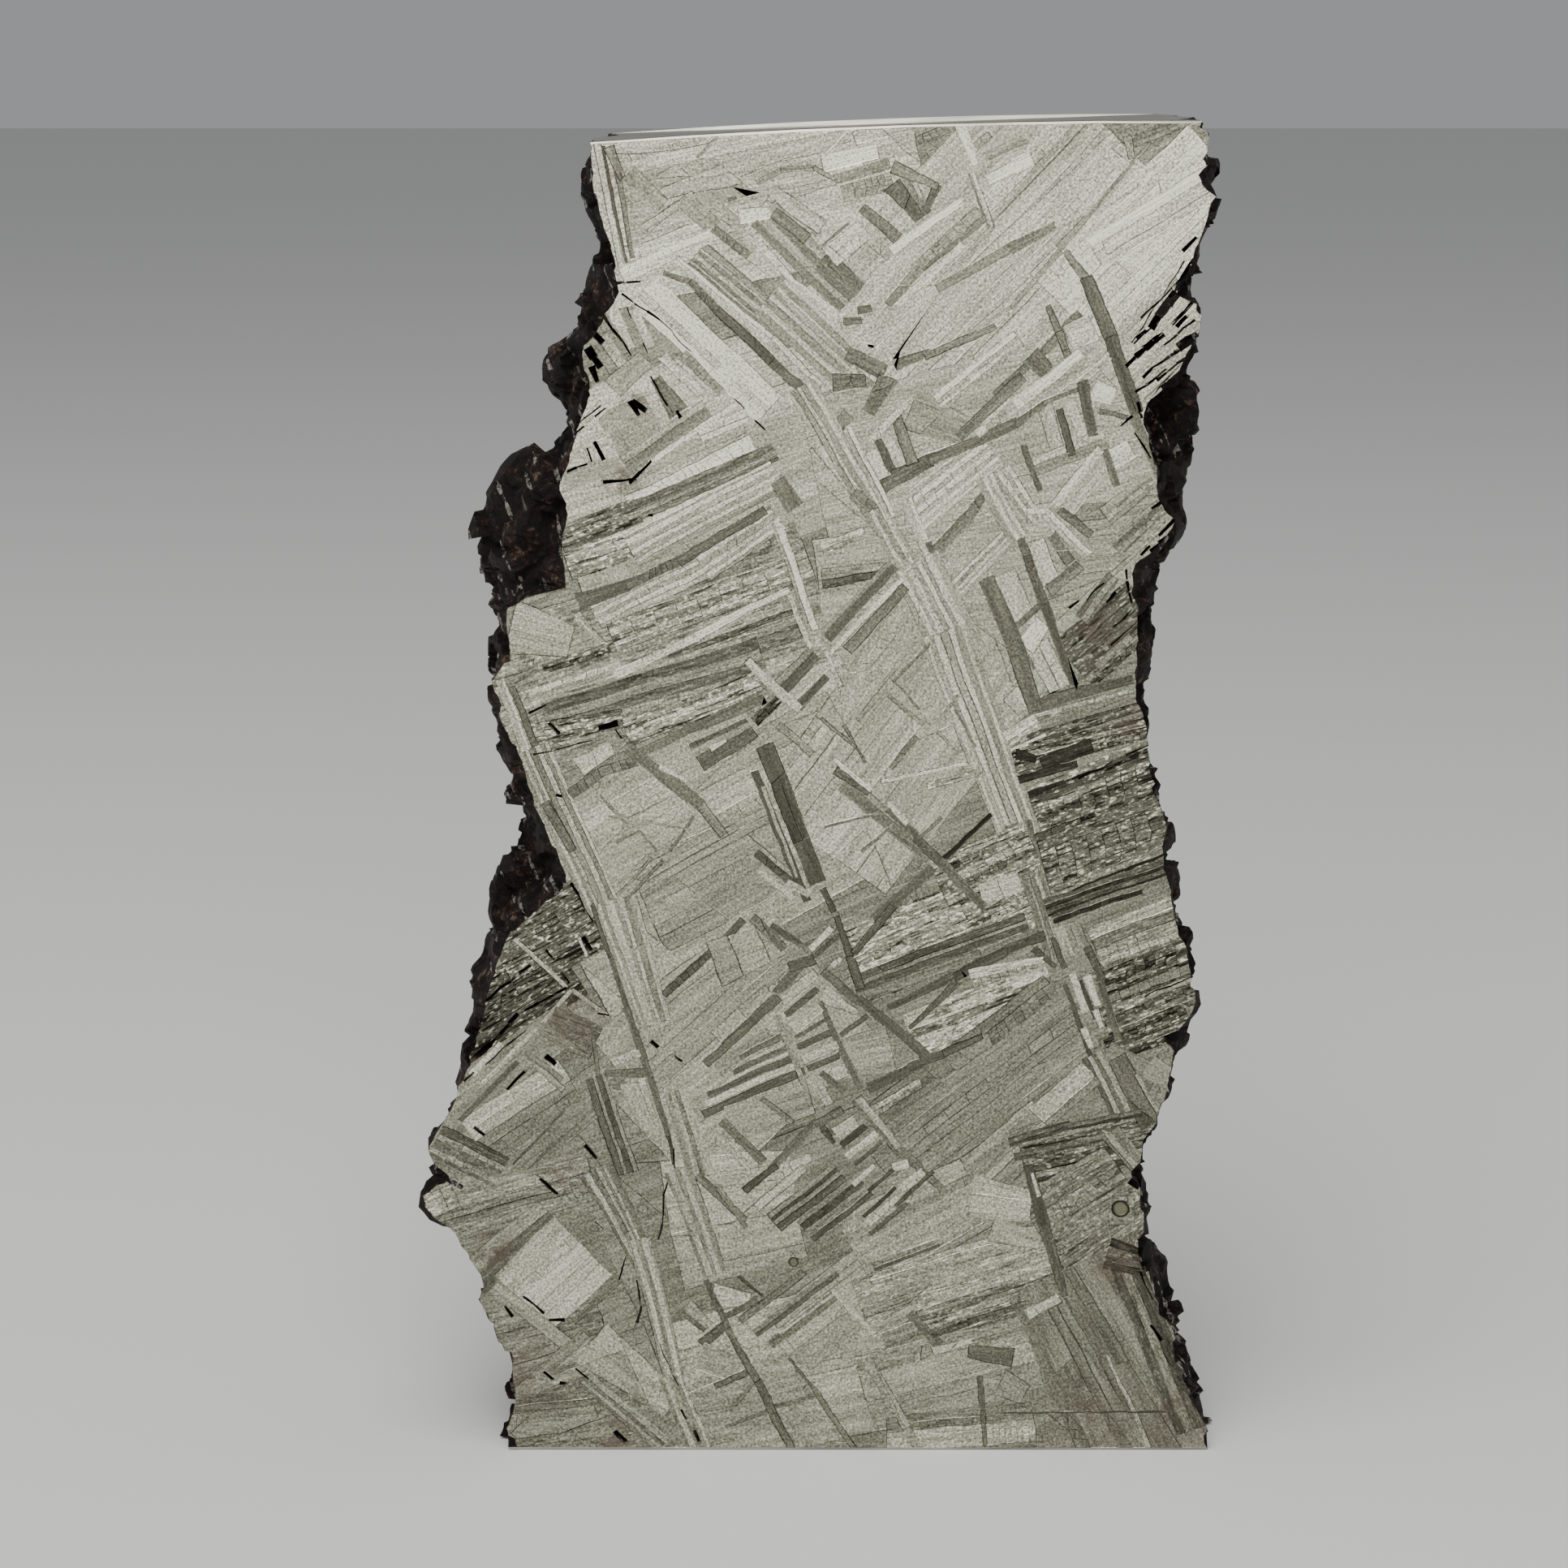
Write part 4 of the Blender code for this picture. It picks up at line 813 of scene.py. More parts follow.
# Open cracks and the slots between plates that the weather has eaten out.
CRACKS = [
    ((-8.5, 51.5), (-6.9, 50.4), 0.14, 0.10),
    ((-6.9, 50.4), (-5.1, 48.5), 0.07, 0.07),
    ((-4.2, 47.5), (-2.4, 45.7), 0.07, 0.09),
    ((-9.0, 51.9), (-7.7, 52.0), 0.20, 0.10),
    ((-8.3, 51.0), (-7.4, 49.0), 0.10, 0.08),
    ((-9.3, 50.6), (-8.1, 48.9), 0.22, 0.10),
    ((-10.0, 50.3), (-9.3, 49.4), 0.55, 0.20),
    ((-10.3, 49.6), (-9.4, 48.3), 0.50, 0.30),
    ((-9.8, 48.4), (-9.4, 47.0), 0.34, 0.16),
    ((-10.6, 45.9), (-9.4, 46.7), 0.14, 0.10),
    ((-10.6, 45.5), (-9.2, 46.6), 0.12, 0.08),
    ((-9.7, 45.2), (-9.3, 44.4), 0.22, 0.16),
    ((-10.0, 44.9), (-9.8, 44.3), 0.14, 0.12),
    ((-10.9, 43.9), (-10.0, 44.2), 0.16, 0.10),
    ((-8.1, 46.9), (-7.5, 46.5), 0.36, 0.20),
    ((-8.2, 46.9), (-7.8, 46.3), 0.26, 0.30),
    ((-7.3, 48.0), (-6.6, 46.7), 0.09, 0.08),
    ((-6.2, 46.5), (-6.0, 46.2), 0.16, 0.14),
    ((-9.3, 43.4), (-7.9, 43.6), 0.20, 0.24),
    ((-8.2, 43.4), (-7.3, 44.4), 0.22, 0.16),
    ((-7.42, 42.0), (-7.22, 42.0), 0.20, 0.16),
    ((2.0, 49.35), (2.25, 49.3), 0.12, 0.12),
    ((13.0, 48.4), (14.6, 49.8), 0.36, 0.30),
    ((14.0, 50.0), (15.8, 52.6), 0.44, 0.60),
    ((13.6, 50.5), (15.3, 52.2), 0.12, 0.14),
    ((13.4, 49.6), (14.2, 50.3), 0.14, 0.14),
    ((15.3, 53.3), (15.9, 53.9), 0.14, 0.20),
    ((12.9, 48.9), (14.2, 50.2), 0.10, 0.12),
    ((14.4, 50.6), (15.5, 51.9), 0.34, 0.30),
    ((15.2, 52.0), (16.0, 53.2), 0.30, 0.26),
    ((14.9, 50.2), (15.9, 51.3), 0.26, 0.20),
    ((14.6, 49.3), (15.9, 50.4), 0.14, 0.16),
    ((13.4, 47.3), (14.7, 48.3), 0.12, 0.16),
    ((14.5, 47.5), (16.0, 48.7), 0.24, 0.30),
    ((15.2, 49.2), (16.0, 49.8), 0.50, 0.50),
    ((13.2, 49.4), (15.4, 52.9), 0.07, 0.08),
    ((15.1, 50.1), (16.0, 51.0), 0.20, 0.20),
    ((13.7, 47.9), (15.9, 49.7), 0.14, 0.20),
    ((15.3, 49.0), (16.1, 49.7), 0.22, 0.26),
    ((14.3, 47.8), (15.6, 48.8), 0.12, 0.20),
    ((13.3, 46.3), (11.9, 45.0), 0.14, 0.10),
    ((13.5, 46.9), (13.7, 46.2), 0.14, 0.12),
    ((13.4, 45.6), (14.4, 43.9), 0.12, 0.12),
    ((13.8, 42.0), (14.6, 42.6), 0.14, 0.20),
    ((13.3, 39.9), (15.3, 42.0), 0.16, 0.16),
    ((14.2, 40.4), (15.0, 41.1), 0.30, 0.60),
    ((13.6, 39.8), (14.3, 39.2), 0.34, 0.40),
    ((13.1, 39.7), (13.4, 38.2), 0.14, 0.14),
    ((12.3, 38.2), (12.7, 38.7), 0.16, 0.14),
    ((10.7, 38.0), (11.1, 38.3), 0.12, 0.10),
    ((11.4, 38.3), (12.2, 39.1), 0.08, 0.08),
    ((12.6, 37.2), (13.8, 38.2), 0.10, 0.10),
    ((12.5, 36.4), (13.6, 37.4), 0.09, 0.09),
    ((15.1, 19.0), (15.9, 19.3), 0.16, 0.24),
    ((14.2, 20.8), (16.4, 21.8), 0.09, 0.08),
    ((11.2, 30.5), (14.2, 32.0), 0.09, 0.07),
    ((13.8, 12.2), (14.5, 13.3), 0.60, 0.40),
    ((14.3, 14.4), (14.9, 13.9), 0.14, 0.20),
    ((14.7, 5.8), (15.2, 5.1), 0.18, 0.12),
    ((14.2, 8.3), (14.8, 7.0), 0.10, 0.10),
    ((-12.5, 18.6), (-11.2, 17.3), 0.30, 0.20),
    ((-10.35, 23.5), (-10.0, 22.9), 0.26, 0.22),
    ((-15.4, 17.9), (-12.3, 20.9), 0.30, 0.22),
    ((-15.7, 17.0), (-12.9, 19.3), 0.12, 0.09),
    ((-12.9, 20.2), (-11.1, 21.2), 0.18, 0.10),
    ((-12.0, 22.9), (-11.0, 21.4), 0.12, 0.09),
    ((-14.9, 20.5), (-12.7, 22.2), 0.16, 0.12),
    ((-9.8, 20.05), (-9.3, 20.0), 0.12, 0.10),
    ((-7.4, 18.8), (-7.1, 18.5), 0.18, 0.16),
    ((-6.4, 18.1), (-6.1, 17.9), 0.14, 0.12),
    ((-13.0, 17.4), (-13.8, 16.6), 0.12, 0.16),
    ((-15.3, 14.9), (-14.8, 14.5), 0.18, 0.14),
    ((-16.9, 12.9), (-15.8, 12.1), 0.34, 0.26),
    ((-12.4, 12.6), (-11.6, 11.9), 0.20, 0.16),
    ((-10.4, 14.1), (-9.9, 13.5), 0.22, 0.14),
    ((-10.8, 11.4), (-9.6, 10.2), 0.12, 0.08),
    ((-6.5, 14.0), (-6.4, 13.0), 0.07, 0.08),
    ((-6.4, 13.0), (-6.9, 11.8), 0.10, 0.08),
    ((-6.9, 11.8), (-7.0, 10.5), 0.07, 0.06),
    ((-7.0, 10.5), (-7.15, 9.8), 0.12, 0.07),
    ((-8.6, 9.0), (-8.9, 7.9), 0.07, 0.10),
    ((-8.15, 7.9), (-8.05, 6.7), 0.07, 0.07),
    ((-8.0, 6.7), (-8.2, 5.9), 0.10, 0.08),
    ((-7.2, 5.0), (-6.3, 3.0), 0.07, 0.06),
    ((-6.2, 1.9), (-5.4, 0.4), 0.12, 0.16),
    ((-13.7, 7.5), (-11.8, 6.05), 0.12, 0.16),
    ((-12.1, 6.05), (-11.4, 6.1), 0.16, 0.14),
    ((-14.0, 6.7), (-13.7, 6.2), 0.16, 0.20),
    ((-12.3, 3.7), (-11.9, 3.3), 0.30, 0.20),
    ((-11.6, 3.15), (-11.3, 3.1), 0.22, 0.22),
    ((-10.9, 3.8), (-10.3, 3.3), 0.14, 0.08),
    ((-9.2, 0.9), (-8.7, 0.4), 0.20, 0.30),
    ((-12.7, 33.4), (-11.9, 33.8), 0.22, 0.14),
    ((-11.8, 33.0), (-11.3, 32.5), 0.20, 0.16),
    ((-9.6, 32.75), (-8.8, 33.0), 0.34, 0.28),
    ((-12.5, 31.6), (-9.9, 32.2), 0.07, 0.08),
    ((-8.9, 32.7), (-8.6, 32.3), 0.10, 0.10),
    ((-10.9, 25.9), (-9.9, 24.2), 0.14, 0.06),
    ((-11.5, 29.8), (-11.2, 29.7), 0.16, 0.10),
]

# How cracks are broken up: length of a piece, how far its ends stray, how many are open.
CRACK_STEP = 0.6
CRACK_STRAY = 0.05
CRACK_OPEN = 0.85

# Round inclusions: place and radius.
NODULES = [((13.3, 11.15), 0.40), ((-1.15, 8.75), 0.22)]
NODULE_SIDES = 14

# Rust: place, radius and strength.
RUST = [
    ((-14.4, 9.3), 0.9, 1.0),
    ((-8.0, 46.7), 0.7, 0.9),
    ((-8.6, 43.6), 0.9, 0.9),
    ((-10.9, 19.8), 1.6, 0.5),
    ((-13.0, 3.5), 2.2, 0.5),
    ((-9.0, 0.7), 1.0, 0.8),
    ((13.0, 8.6), 1.4, 0.6),
    ((12.5, 1.5), 2.5, 0.4),
    ((12.0, 37.0), 1.6, 0.5),
    ((-8.3, 56.3), 1.3, 0.5),
    ((-11.3, 12.6), 1.2, 0.5),
    ((13.4, 33.0), 1.2, 0.4),
    ((16.0, 1.5), 1.8, 0.6),
]

# How the rest of the cuts is divided: the least and most area that a face is left
# at, in square millimetres, and how much its brightness strays.
PLAIN_TONE = {FRONT: 0.6, BACK: 0.8}
BROAD = 2.5
BROAD_CONTRAST = 0.04
FINE_CONTRAST = 0.12
FRONT_FINE = (0.5, 7.0)
BACK_FINE = (1.0, 9.0)
OWN_DIRECTION = 0.65
THINNEST_PLATE = 0.3
TONE_STRAY = 0.035
BACK_PLATES = 110
BACK_WIDEST = 6.0

# The metal's brightness from dark plates to bright lines, and the crust's from pits
# to worn high spots.
METAL_TONES = [
    (0.0, "1A1913"), (0.2, "34332B"), (0.4, "56554A"), (0.5, "69675A"), (0.6, "807F6E"), (0.7, "979684"),
    (0.8, "ADAC99"), (0.9, "C6C5B2"), (1.0, "E6E4D2"),
]
CRUST_TONES = [(0.3, "060403"), (0.5, "150D0A"), (0.62, "291A14"), (0.74, "4A3428"), (0.88, "8A7663")]
BARE_COLOUR = "B3B0A6"
RUST_COLOUR = "48372B"


def start_body():
    """A merged copy of the CAD slice in millimetres."""
    bm = bmesh.new()
    bm.from_mesh(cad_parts["slice"].data)
    bmesh.ops.scale(bm, vec=(1.0 / MM, 1.0 / MM, 1.0 / MM), verts=bm.verts)
    bmesh.ops.remove_doubles(bm, verts=bm.verts, dist=0.001)
    bm.normal_update()
    return bm


def flat_faces(bm, direction):
    """The faces of one sawn flat, which look almost exactly along a direction."""
    direction = Vector(direction)
    reach = max(v.co.dot(direction) for v in bm.verts)
    found = []
    for face in bm.faces:
        near = min(v.co.dot(direction) for v in face.verts)
        if face.normal.dot(direction) > 0.99 and near > reach - FLAT_SLOPE:
            found.append(face)
    return found


def merge_flats(bm, side):
    """Join the triangles of each sawn flat and note which flat it is."""
    for number, direction in FLATS.items():
        joined = bmesh.ops.dissolve_faces(bm, faces=flat_faces(bm, direction))["region"]
        for face in joined:
            face[side] = number
        bm.normal_update()


def soften_sawn_edges(bm, side):
    """Break the sharp edges where the top and the base meet the broad cuts."""
    edges = []
    for edge in bm.edges:
        sides = {face[side] for face in edge.link_faces}
        if len(sides) == 2 and sides & {TOP, BASE} and sides & {FRONT, BACK}:
            edges.append(edge)
    made = bmesh.ops.bevel(
        bm, geom=edges, offset=SAWN_EDGE, offset_type="OFFSET", segments=2, profile=0.5,
        affect="EDGES", material=-1,
    )
    for face in made["faces"]:
        face[side] = SAWN
    bm.normal_update()


def facet(place, size, seed):
    """The height at a place of a broken facet, tilted and stepped at random."""
    angle = math.radians(RISING)
    along = place.x * math.cos(angle) + place.z * math.sin(angle)
    across = place.z * math.cos(angle) - place.x * math.sin(angle)
    spot = Vector((along * FACET_STRETCH, place.y * FACET_STRETCH, across)) / size + Vector((seed, 0.0, 0.0))
    middle = noise.voronoi(spot)[1][0]
    tilt = noise.cell_vector(middle * 7.3)
    away = (spot - middle) * size
    return away.dot(tilt - Vector((0.5, 0.5, 0.5))) * FACET_TILT + (tilt.x - 0.5) * size * FACET_STEP


def ledge(place):
    """How far the crust stands out or in at a place."""
    height = sum(facet(place, size, size * 31.0) for size in FACET_SIZES)
    height += noise.noise(place * 0.8) * CRUST_LUMPS
    return max(-CRUST_LIMIT, min(CRUST_LIMIT, height))


def hold_flat(vert, move, side):
    """A move with the part taken out that would lift a corner off a sawn flat."""
    for face in vert.link_faces:
        if face[side] != CRUST:
            move -= face.normal * move.dot(face.normal)
    return move


def break_outline(bm, side):
    """Break up the line where the crust meets the sawn flats."""
    edges = [e for e in bm.edges if CRUST in {f[side] for f in e.link_faces} != {CRUST}]
    bmesh.ops.subdivide_edges(bm, edges=edges, cuts=CRUST_CUTS)
    bm.normal_update()
    moves = {}
    for vert in bm.verts:
        sides = {face[side] for face in vert.link_faces}
        if CRUST in sides and sides != {CRUST}:
            moves[vert] = hold_flat(vert, vert.normal * ledge(vert.co) * OUTLINE_SHARE, side)
    for vert, move in moves.items():
        vert.co += move
    bm.normal_update()


def roughen_crust(bm, side):
    """Divide the natural sides finely and break them up."""
    edges = [e for e in bm.edges if {f[side] for f in e.link_faces} == {CRUST}]
    bmesh.ops.subdivide_edges(bm, edges=edges, cuts=CRUST_CUTS, use_grid_fill=True)
    bm.normal_update()
    moves = {}
    for vert in bm.verts:
        if {face[side] for face in vert.link_faces} == {CRUST}:
            move = vert.normal * ledge(vert.co)
            if vert.co.z > CRUST_HIGH:
                move *= 0.4
                move.z = min(0.0, move.z)
            if vert.co.z < CRUST_LOW:
                move.z = max(0.0, move.z)
            moves[vert] = move
    for vert, move in moves.items():
        vert.co += move
    bm.normal_update()


def cut_of(bm, number):
    """A broad cut, ready to have plates marked out on it."""
    layers = {
        "side": bm.faces.layers.int["side"],
        "kind": bm.faces.layers.int["kind"],
        "owner": bm.faces.layers.int["owner"],
    }
    for name in FINISH:
        layers[name] = bm.faces.layers.float[name]
    cut = Cut(bm, THICKNESS / 2.0 * (1.0 if number == BACK else -1.0), number, layers)
    read_boxes(cut)
    for face in cut.boxes:
        face[layers["tone"]] = PLAIN_TONE[number]
        face[layers["lie"]] = math.radians(LEVEL)
    return cut


def read_boxes(cut):
    """Find the cut's faces again after some were joined."""
    cut.bm.faces.ensure_lookup_table()
    side = cut.layers["side"]
    cut.boxes = {face: box_of(face) for face in cut.bm.faces if face[side] == cut.number}


def breadth(face):
    """How broad a face is on the whole."""
    return 2.0 * face.calc_area() / sum(e.calc_length() for e in face.edges)


def join_pair(one, other):
    """Join two faces, if that makes a face without a hole or a narrow neck."""
    shared = [edge for edge in one.edges if edge in set(other.edges)]
    if len(set(one.verts) & set(other.verts)) == len(shared) + 1:
        if sum(e.calc_length() for e in shared) > NECK * min(breadth(one), breadth(other)):
            bmesh.utils.face_join([one, other], True)


def join_same_plates(cut, chance, share):
    """Take away most of the lines that a plate's outline left across its neighbours."""
    owner, side, kind = cut.layers["owner"], cut.layers["side"], cut.layers["kind"]
    for edge in [e for e in cut.bm.edges if len(e.link_faces) == 2]:
        if not edge.is_valid or len(edge.link_faces) != 2:
            continue
        one, other = edge.link_faces
        if one[side] == cut.number == other[side] and one[owner] == other[owner]:
            if one[kind] != METAL or chance.random() < share:
                join_pair(one, other)
    read_boxes(cut)


def join_slivers(cut, least):
    """Join faces that are too small to see to the neighbour along their longest side."""
    kind, side = cut.layers["kind"], cut.layers["side"]
    for face in list(cut.boxes):
        if not face.is_valid or face[kind] != METAL or face.calc_area() > least:
            continue
        shared = []
        for edge in face.edges:
            near = [f for f in edge.link_faces if f is not face]
            if near and near[0][side] == cut.number and near[0][kind] == METAL:
                shared.append((edge.calc_length(), near[0]))
        if shared:
            join_pair(max(shared, key=lambda pair: pair[0])[1], face)
    read_boxes(cut)


def straighten(cut):
    """Take out corners that lie in the middle of a straight side."""
    verts = dict.fromkeys(v for face in cut.boxes for v in face.verts)
    middles = [v for v in verts if len(v.link_edges) == 2 and v.calc_edge_angle(1.0) < 0.02]
    bmesh.ops.dissolve_verts(cut.bm, verts=middles)
    read_boxes(cut)


def divide_rest(cut, chance, fine):
    """Divide what is left of the cut into plates in the four directions."""
    layers = cut.layers
    waiting = [face for face in cut.boxes if face[layers["kind"]] == METAL]
    while waiting:
        face = waiting.pop()
        if face.calc_area() < chance.uniform(*fine):
            continue
        if chance.random() < OWN_DIRECTION:
            angle = face[layers["lie"]]
        else:
            angle = math.radians(chance.choice(DIRECTIONS))
        normal = (-math.sin(angle), math.cos(angle))
        reaches = [v.co.x * normal[0] + v.co.z * normal[1] for v in face.verts]
        low, high = min(reaches), max(reaches)
        if high - low < THINNEST_PLATE * 2.0:
            continue
        reach = chance.uniform(low + THINNEST_PLATE, high - THINNEST_PLATE)
        parts = split(cut, [face], (normal[0] * reach, normal[1] * reach), normal)
        if len(parts) < 2:
            continue
        for part in parts:
            part[layers["tone"]] += chance.uniform(-TONE_STRAY, TONE_STRAY)
            cut.owner += 1
            part[layers["owner"]] = cut.owner
        waiting.extend(parts)


def lay_front(bm, chance):
    """Mark out the plates that show on the front cut."""
    cut = cut_of(bm, FRONT)
    for start, end, width, end_width, tone, ripple, count in PLATES:
        if count == 1:
            lay_plate(cut, start, end, width, tone, ripple, end_width)
        else:
            spread = BROAD_CONTRAST if width > BROAD else FINE_CONTRAST
            lay_bundle(cut, chance, start, end, width, tone, spread, ripple, count, end_width)
    join_same_plates(cut, chance, LINES_TAKEN)
    join_slivers(cut, SLIVER)
    divide_rest(cut, chance, FRONT_FINE)
    for start, end, width, end_width in CRACKS:
        lay_crack(cut, chance, Vector(start), Vector(end), width, end_width)
    for place, radius in NODULES:
        lay_nodule(cut, place, radius)
    join_same_plates(cut, chance, LINES_TAKEN)
    straighten(cut)
    return cut


def lay_crack(cut, chance, start, end, width, end_width):
    """An open crack in short ragged lengths, some of them still closed."""
    steps = max(1, round((end - start).length / CRACK_STEP))
    across = (end - start).normalized().orthogonal()
    reached = start
    for number in range(1, steps + 1):
        stray = chance.uniform(-CRACK_STRAY, CRACK_STRAY) if number < steps else 0.0
        here = start.lerp(end, number / steps) + across * stray
        wide = width + (end_width - width) * (number - 0.5) / steps
        if steps == 1 or chance.random() < CRACK_OPEN:
            widths = wide * chance.uniform(0.5, 1.1), wide * chance.uniform(0.4, 1.0)
            lay_plate(cut, tuple(reached), tuple(here), widths[0], 0.0, 0.0, widths[1], GAP)
        reached = here


def lay_nodule(cut, place, radius):
    """Mark out a round inclusion with a dark ring around it."""
    for reach, finish in ((1.0, {"tone": 0.15, "ripple": 0.0, "kind": METAL}), (0.8, {"kind": NODULE})):
        corners = []
        for number in range(NODULE_SIDES):
            turn = math.tau * number / NODULE_SIDES
            away = Vector((math.cos(turn), math.sin(turn))) * radius * reach
            corners.append((place[0] + away.x, place[1] + away.y))
        claim(cut, corners, finish)


def lay_back(bm, chance):
    """Mark out the hidden cut's own plates in the same four directions."""
    cut = cut_of(bm, BACK)
    for number in range(BACK_PLATES):
        angle = math.radians(chance.choice(DIRECTIONS) + chance.uniform(-3.0, 3.0))
        middle = Vector((chance.uniform(-16.0, 16.0), chance.uniform(1.0, 57.0)))
        half = Vector((math.cos(angle), math.sin(angle))) * chance.uniform(2.0, 9.0)
        # The broad plates come first, and the narrow ones lie over them.
        width = chance.uniform(0.7, 1.3) * (BACK_WIDEST * (1.0 - number / BACK_PLATES) ** 2 + 0.4)
        tone = chance.uniform(0.6, 0.95)
        ripple = chance.choice((0.0, 0.0, 0.0, 0.1, 0.6))
        count = min(6, 1 + int(width / 0.5))
        spread = BROAD_CONTRAST if width > BROAD else FINE_CONTRAST
        lay_bundle(cut, chance, tuple(middle - half), tuple(middle + half), width, tone, spread, ripple, count)
    join_same_plates(cut, chance, LINES_TAKEN)
    join_slivers(cut, SLIVER)
    divide_rest(cut, chance, BACK_FINE)
    join_same_plates(cut, chance, LINES_TAKEN)
    straighten(cut)
    return cut


def warp(cut):
    """Let the plates' sides wander a little, as they do in the metal."""
    side = cut.layers["side"]
    for _ in range(3):
        edges = []
        for edge in dict.fromkeys(e for face in cut.boxes for e in face.edges):
            if edge.calc_length() > LONGEST_EDGE[cut.number] and all(f[side] == cut.number for f in edge.link_faces):
                edges.append(edge)
        bmesh.ops.subdivide_edges(cut.bm, edges=edges, cuts=1)
        read_boxes(cut)
    inner = {v for face in cut.boxes for v in face.verts}
    outline = {v for v in inner if any(f[side] != cut.number for f in v.link_faces)}
    tree = KDTree(len(outline))
    for number, vert in enumerate(outline):
        tree.insert(vert.co, number)
    tree.balance()
    for vert in inner - outline:
        away = tree.find(vert.co)[2]
        hold = min(1.0, away / WARP_FROM_OUTLINE)
        wide = noise.noise_vector(vert.co / WANDER_LENGTH)
        near = noise.noise_vector(vert.co / WAVER_LENGTH + Vector((7.0, 3.0, 1.0)))
        vert.co.x += (wide.x * WANDER + near.x * WAVER) * hold
        vert.co.z += (wide.z * WANDER + near.z * WAVER) * hold
    cut.bm.normal_update()


def turned_over(points):
    """Whether an outline on a cut has been folded over or squeezed flat."""
    return polygon_area(points) < FOLDED


def merge_short(cut):
    """Merge the ends of sides that are too short to see, where nothing else is touched."""
    side = cut.layers["side"]
    front = 1.0 if cut.number == FRONT else -1.0
    for _ in range(MERGE_ROUNDS):
        used, targets = set(), {}
        for edge in dict.fromkeys(e for face in cut.boxes for e in face.edges):
            going, staying = edge.verts
            if edge.calc_length() > SHORTEST_EDGE:
                continue
            if any(f[side] != cut.number for f in going.link_faces):
                going, staying = staying, going
            around = {v for f in (*going.link_faces, *staying.link_faces) for v in f.verts}
            if around & used or any(f[side] != cut.number for f in going.link_faces):
                continue
            near = [{e.other_vert(v) for e in v.link_edges} for v in (going, staying)]
            tips = {v for f in edge.link_faces if len(f.verts) == 3 for v in f.verts} - {going, staying}
            if near[0] & near[1] != tips or set(going.link_faces) & set(staying.link_faces) != set(edge.link_faces):
                continue
            moved = []
            for face in going.link_faces:
                places = [staying.co if v is going else v.co for v in face.verts]
                if len(places) > 3 or face not in edge.link_faces:
                    moved.append([(place.x * front, place.z) for place in places])
            if any(turned_over(points) for points in moved):
                continue
            used |= around
            targets[going] = staying
        bmesh.ops.weld_verts(cut.bm, targetmap=targets)
        read_boxes(cut)


def drawn_in(points, thickness):
    """An anticlockwise outline with every corner moved in by a rim's width."""
    moved = []
    for before, here, after in zip(points[-1:] + points[:-1], points, points[1:] + points[:1]):
        along = (here - before).normalized() + (after - here).normalized()
        moved.append(here + Vector((-along.y, along.x)).normalized() * thickness)
    return moved


def fills_well(points):
    """Whether an outline can be filled without folding over itself."""
    total = polygon_area(points)
    corners = tessellate_polygon([[(x, z, 0.0) for x, z in points]])
    filled = sum(abs(polygon_area([points[number] for number in corner])) for corner in corners)
    return total > 0.0 and filled < total * 1.001 + 1e-5


def join_folded(cut):
    """Join faces that the wandering folded over to the neighbour along their longest side."""
    kind = cut.layers["kind"]
    front = 1.0 if cut.number == FRONT else -1.0
    for _ in range(MERGE_ROUNDS):
        for face in list(cut.boxes):
            if not face.is_valid or fills_well([Vector((v.co.x * front, v.co.z)) for v in face.verts]):
                continue
            edge = max(face.edges, key=lambda e: e.calc_length())
            for other in [f for f in edge.link_faces if f is not face and f in cut.boxes]:
                if other[kind] == METAL:
                    join_pair(other, face)
        read_boxes(cut)


def raise_rims(cut, chance):
    """Set each plate a little above or below its rim, and open the cracks."""
    kind, rim, shift = cut.layers["kind"], cut.layers["rim"], cut.layers["shift"]
    merge_short(cut)
    join_folded(cut)
    front = 1.0 if cut.number == FRONT else -1.0
    groups = {}
    for face in cut.boxes:
        face[shift] = chance.uniform(0.0, 50.0)
        across = breadth(face)
        if face[kind] == GAP:
            key = (0.0, min(0.015, across * 0.2), GAP_DEPTH)
        elif face[kind] == NODULE:
            key = (-1.0, 0.05, 0.06)
        else:
            thickness = max((t for limit, t in RIM_WIDTHS if across > limit), default=0.0)
            if thickness == 0.0:
                continue
            # A rim's brightness: the dark values are painted shade along the plate's edge, and the bright value is
            # the paler taenite.
            line, depth = chance.choice(RIM_SHADE_TAENITE_AND_DEPTH)
            key = (line, thickness, depth)
        points = [Vector((v.co.x * front, v.co.z)) for v in face.verts]
        if fills_well(drawn_in(points, key[1])):
            groups.setdefault(key, []).append(face)
    for (line, thickness, depth), faces in groups.items():
        made = bmesh.ops.inset_individual(
            cut.bm, faces=faces, thickness=thickness, depth=-depth, use_even_offset=False,
        )
        for face in made["faces"]:
            face[rim] = line
    read_boxes(cut)


def part_bridges(bm):
    """Give a middle corner to each edge that joins two corners of a many-sided face from outside it."""
    bridges = {}
    for face in bm.faces:
        corners = dict.fromkeys(face.verts)
        for vert in corners if len(corners) > 4 else ():
            for edge in vert.link_edges:
                if edge.other_vert(vert) in corners and face not in edge.link_faces:
                    bridges[edge] = True
    bmesh.ops.subdivide_edges(bm, edges=list(bridges), cuts=1)


def drop_flaps(bm):
    """Take out faces that lie back to back on the same corners."""
    seen = {}
    for face in bm.faces:
        seen.setdefault(frozenset(face.verts), []).append(face)
    flaps = [face for faces in seen.values() if len(faces) > 1 for face in faces]
    bmesh.ops.delete(bm, geom=flaps, context="FACES")


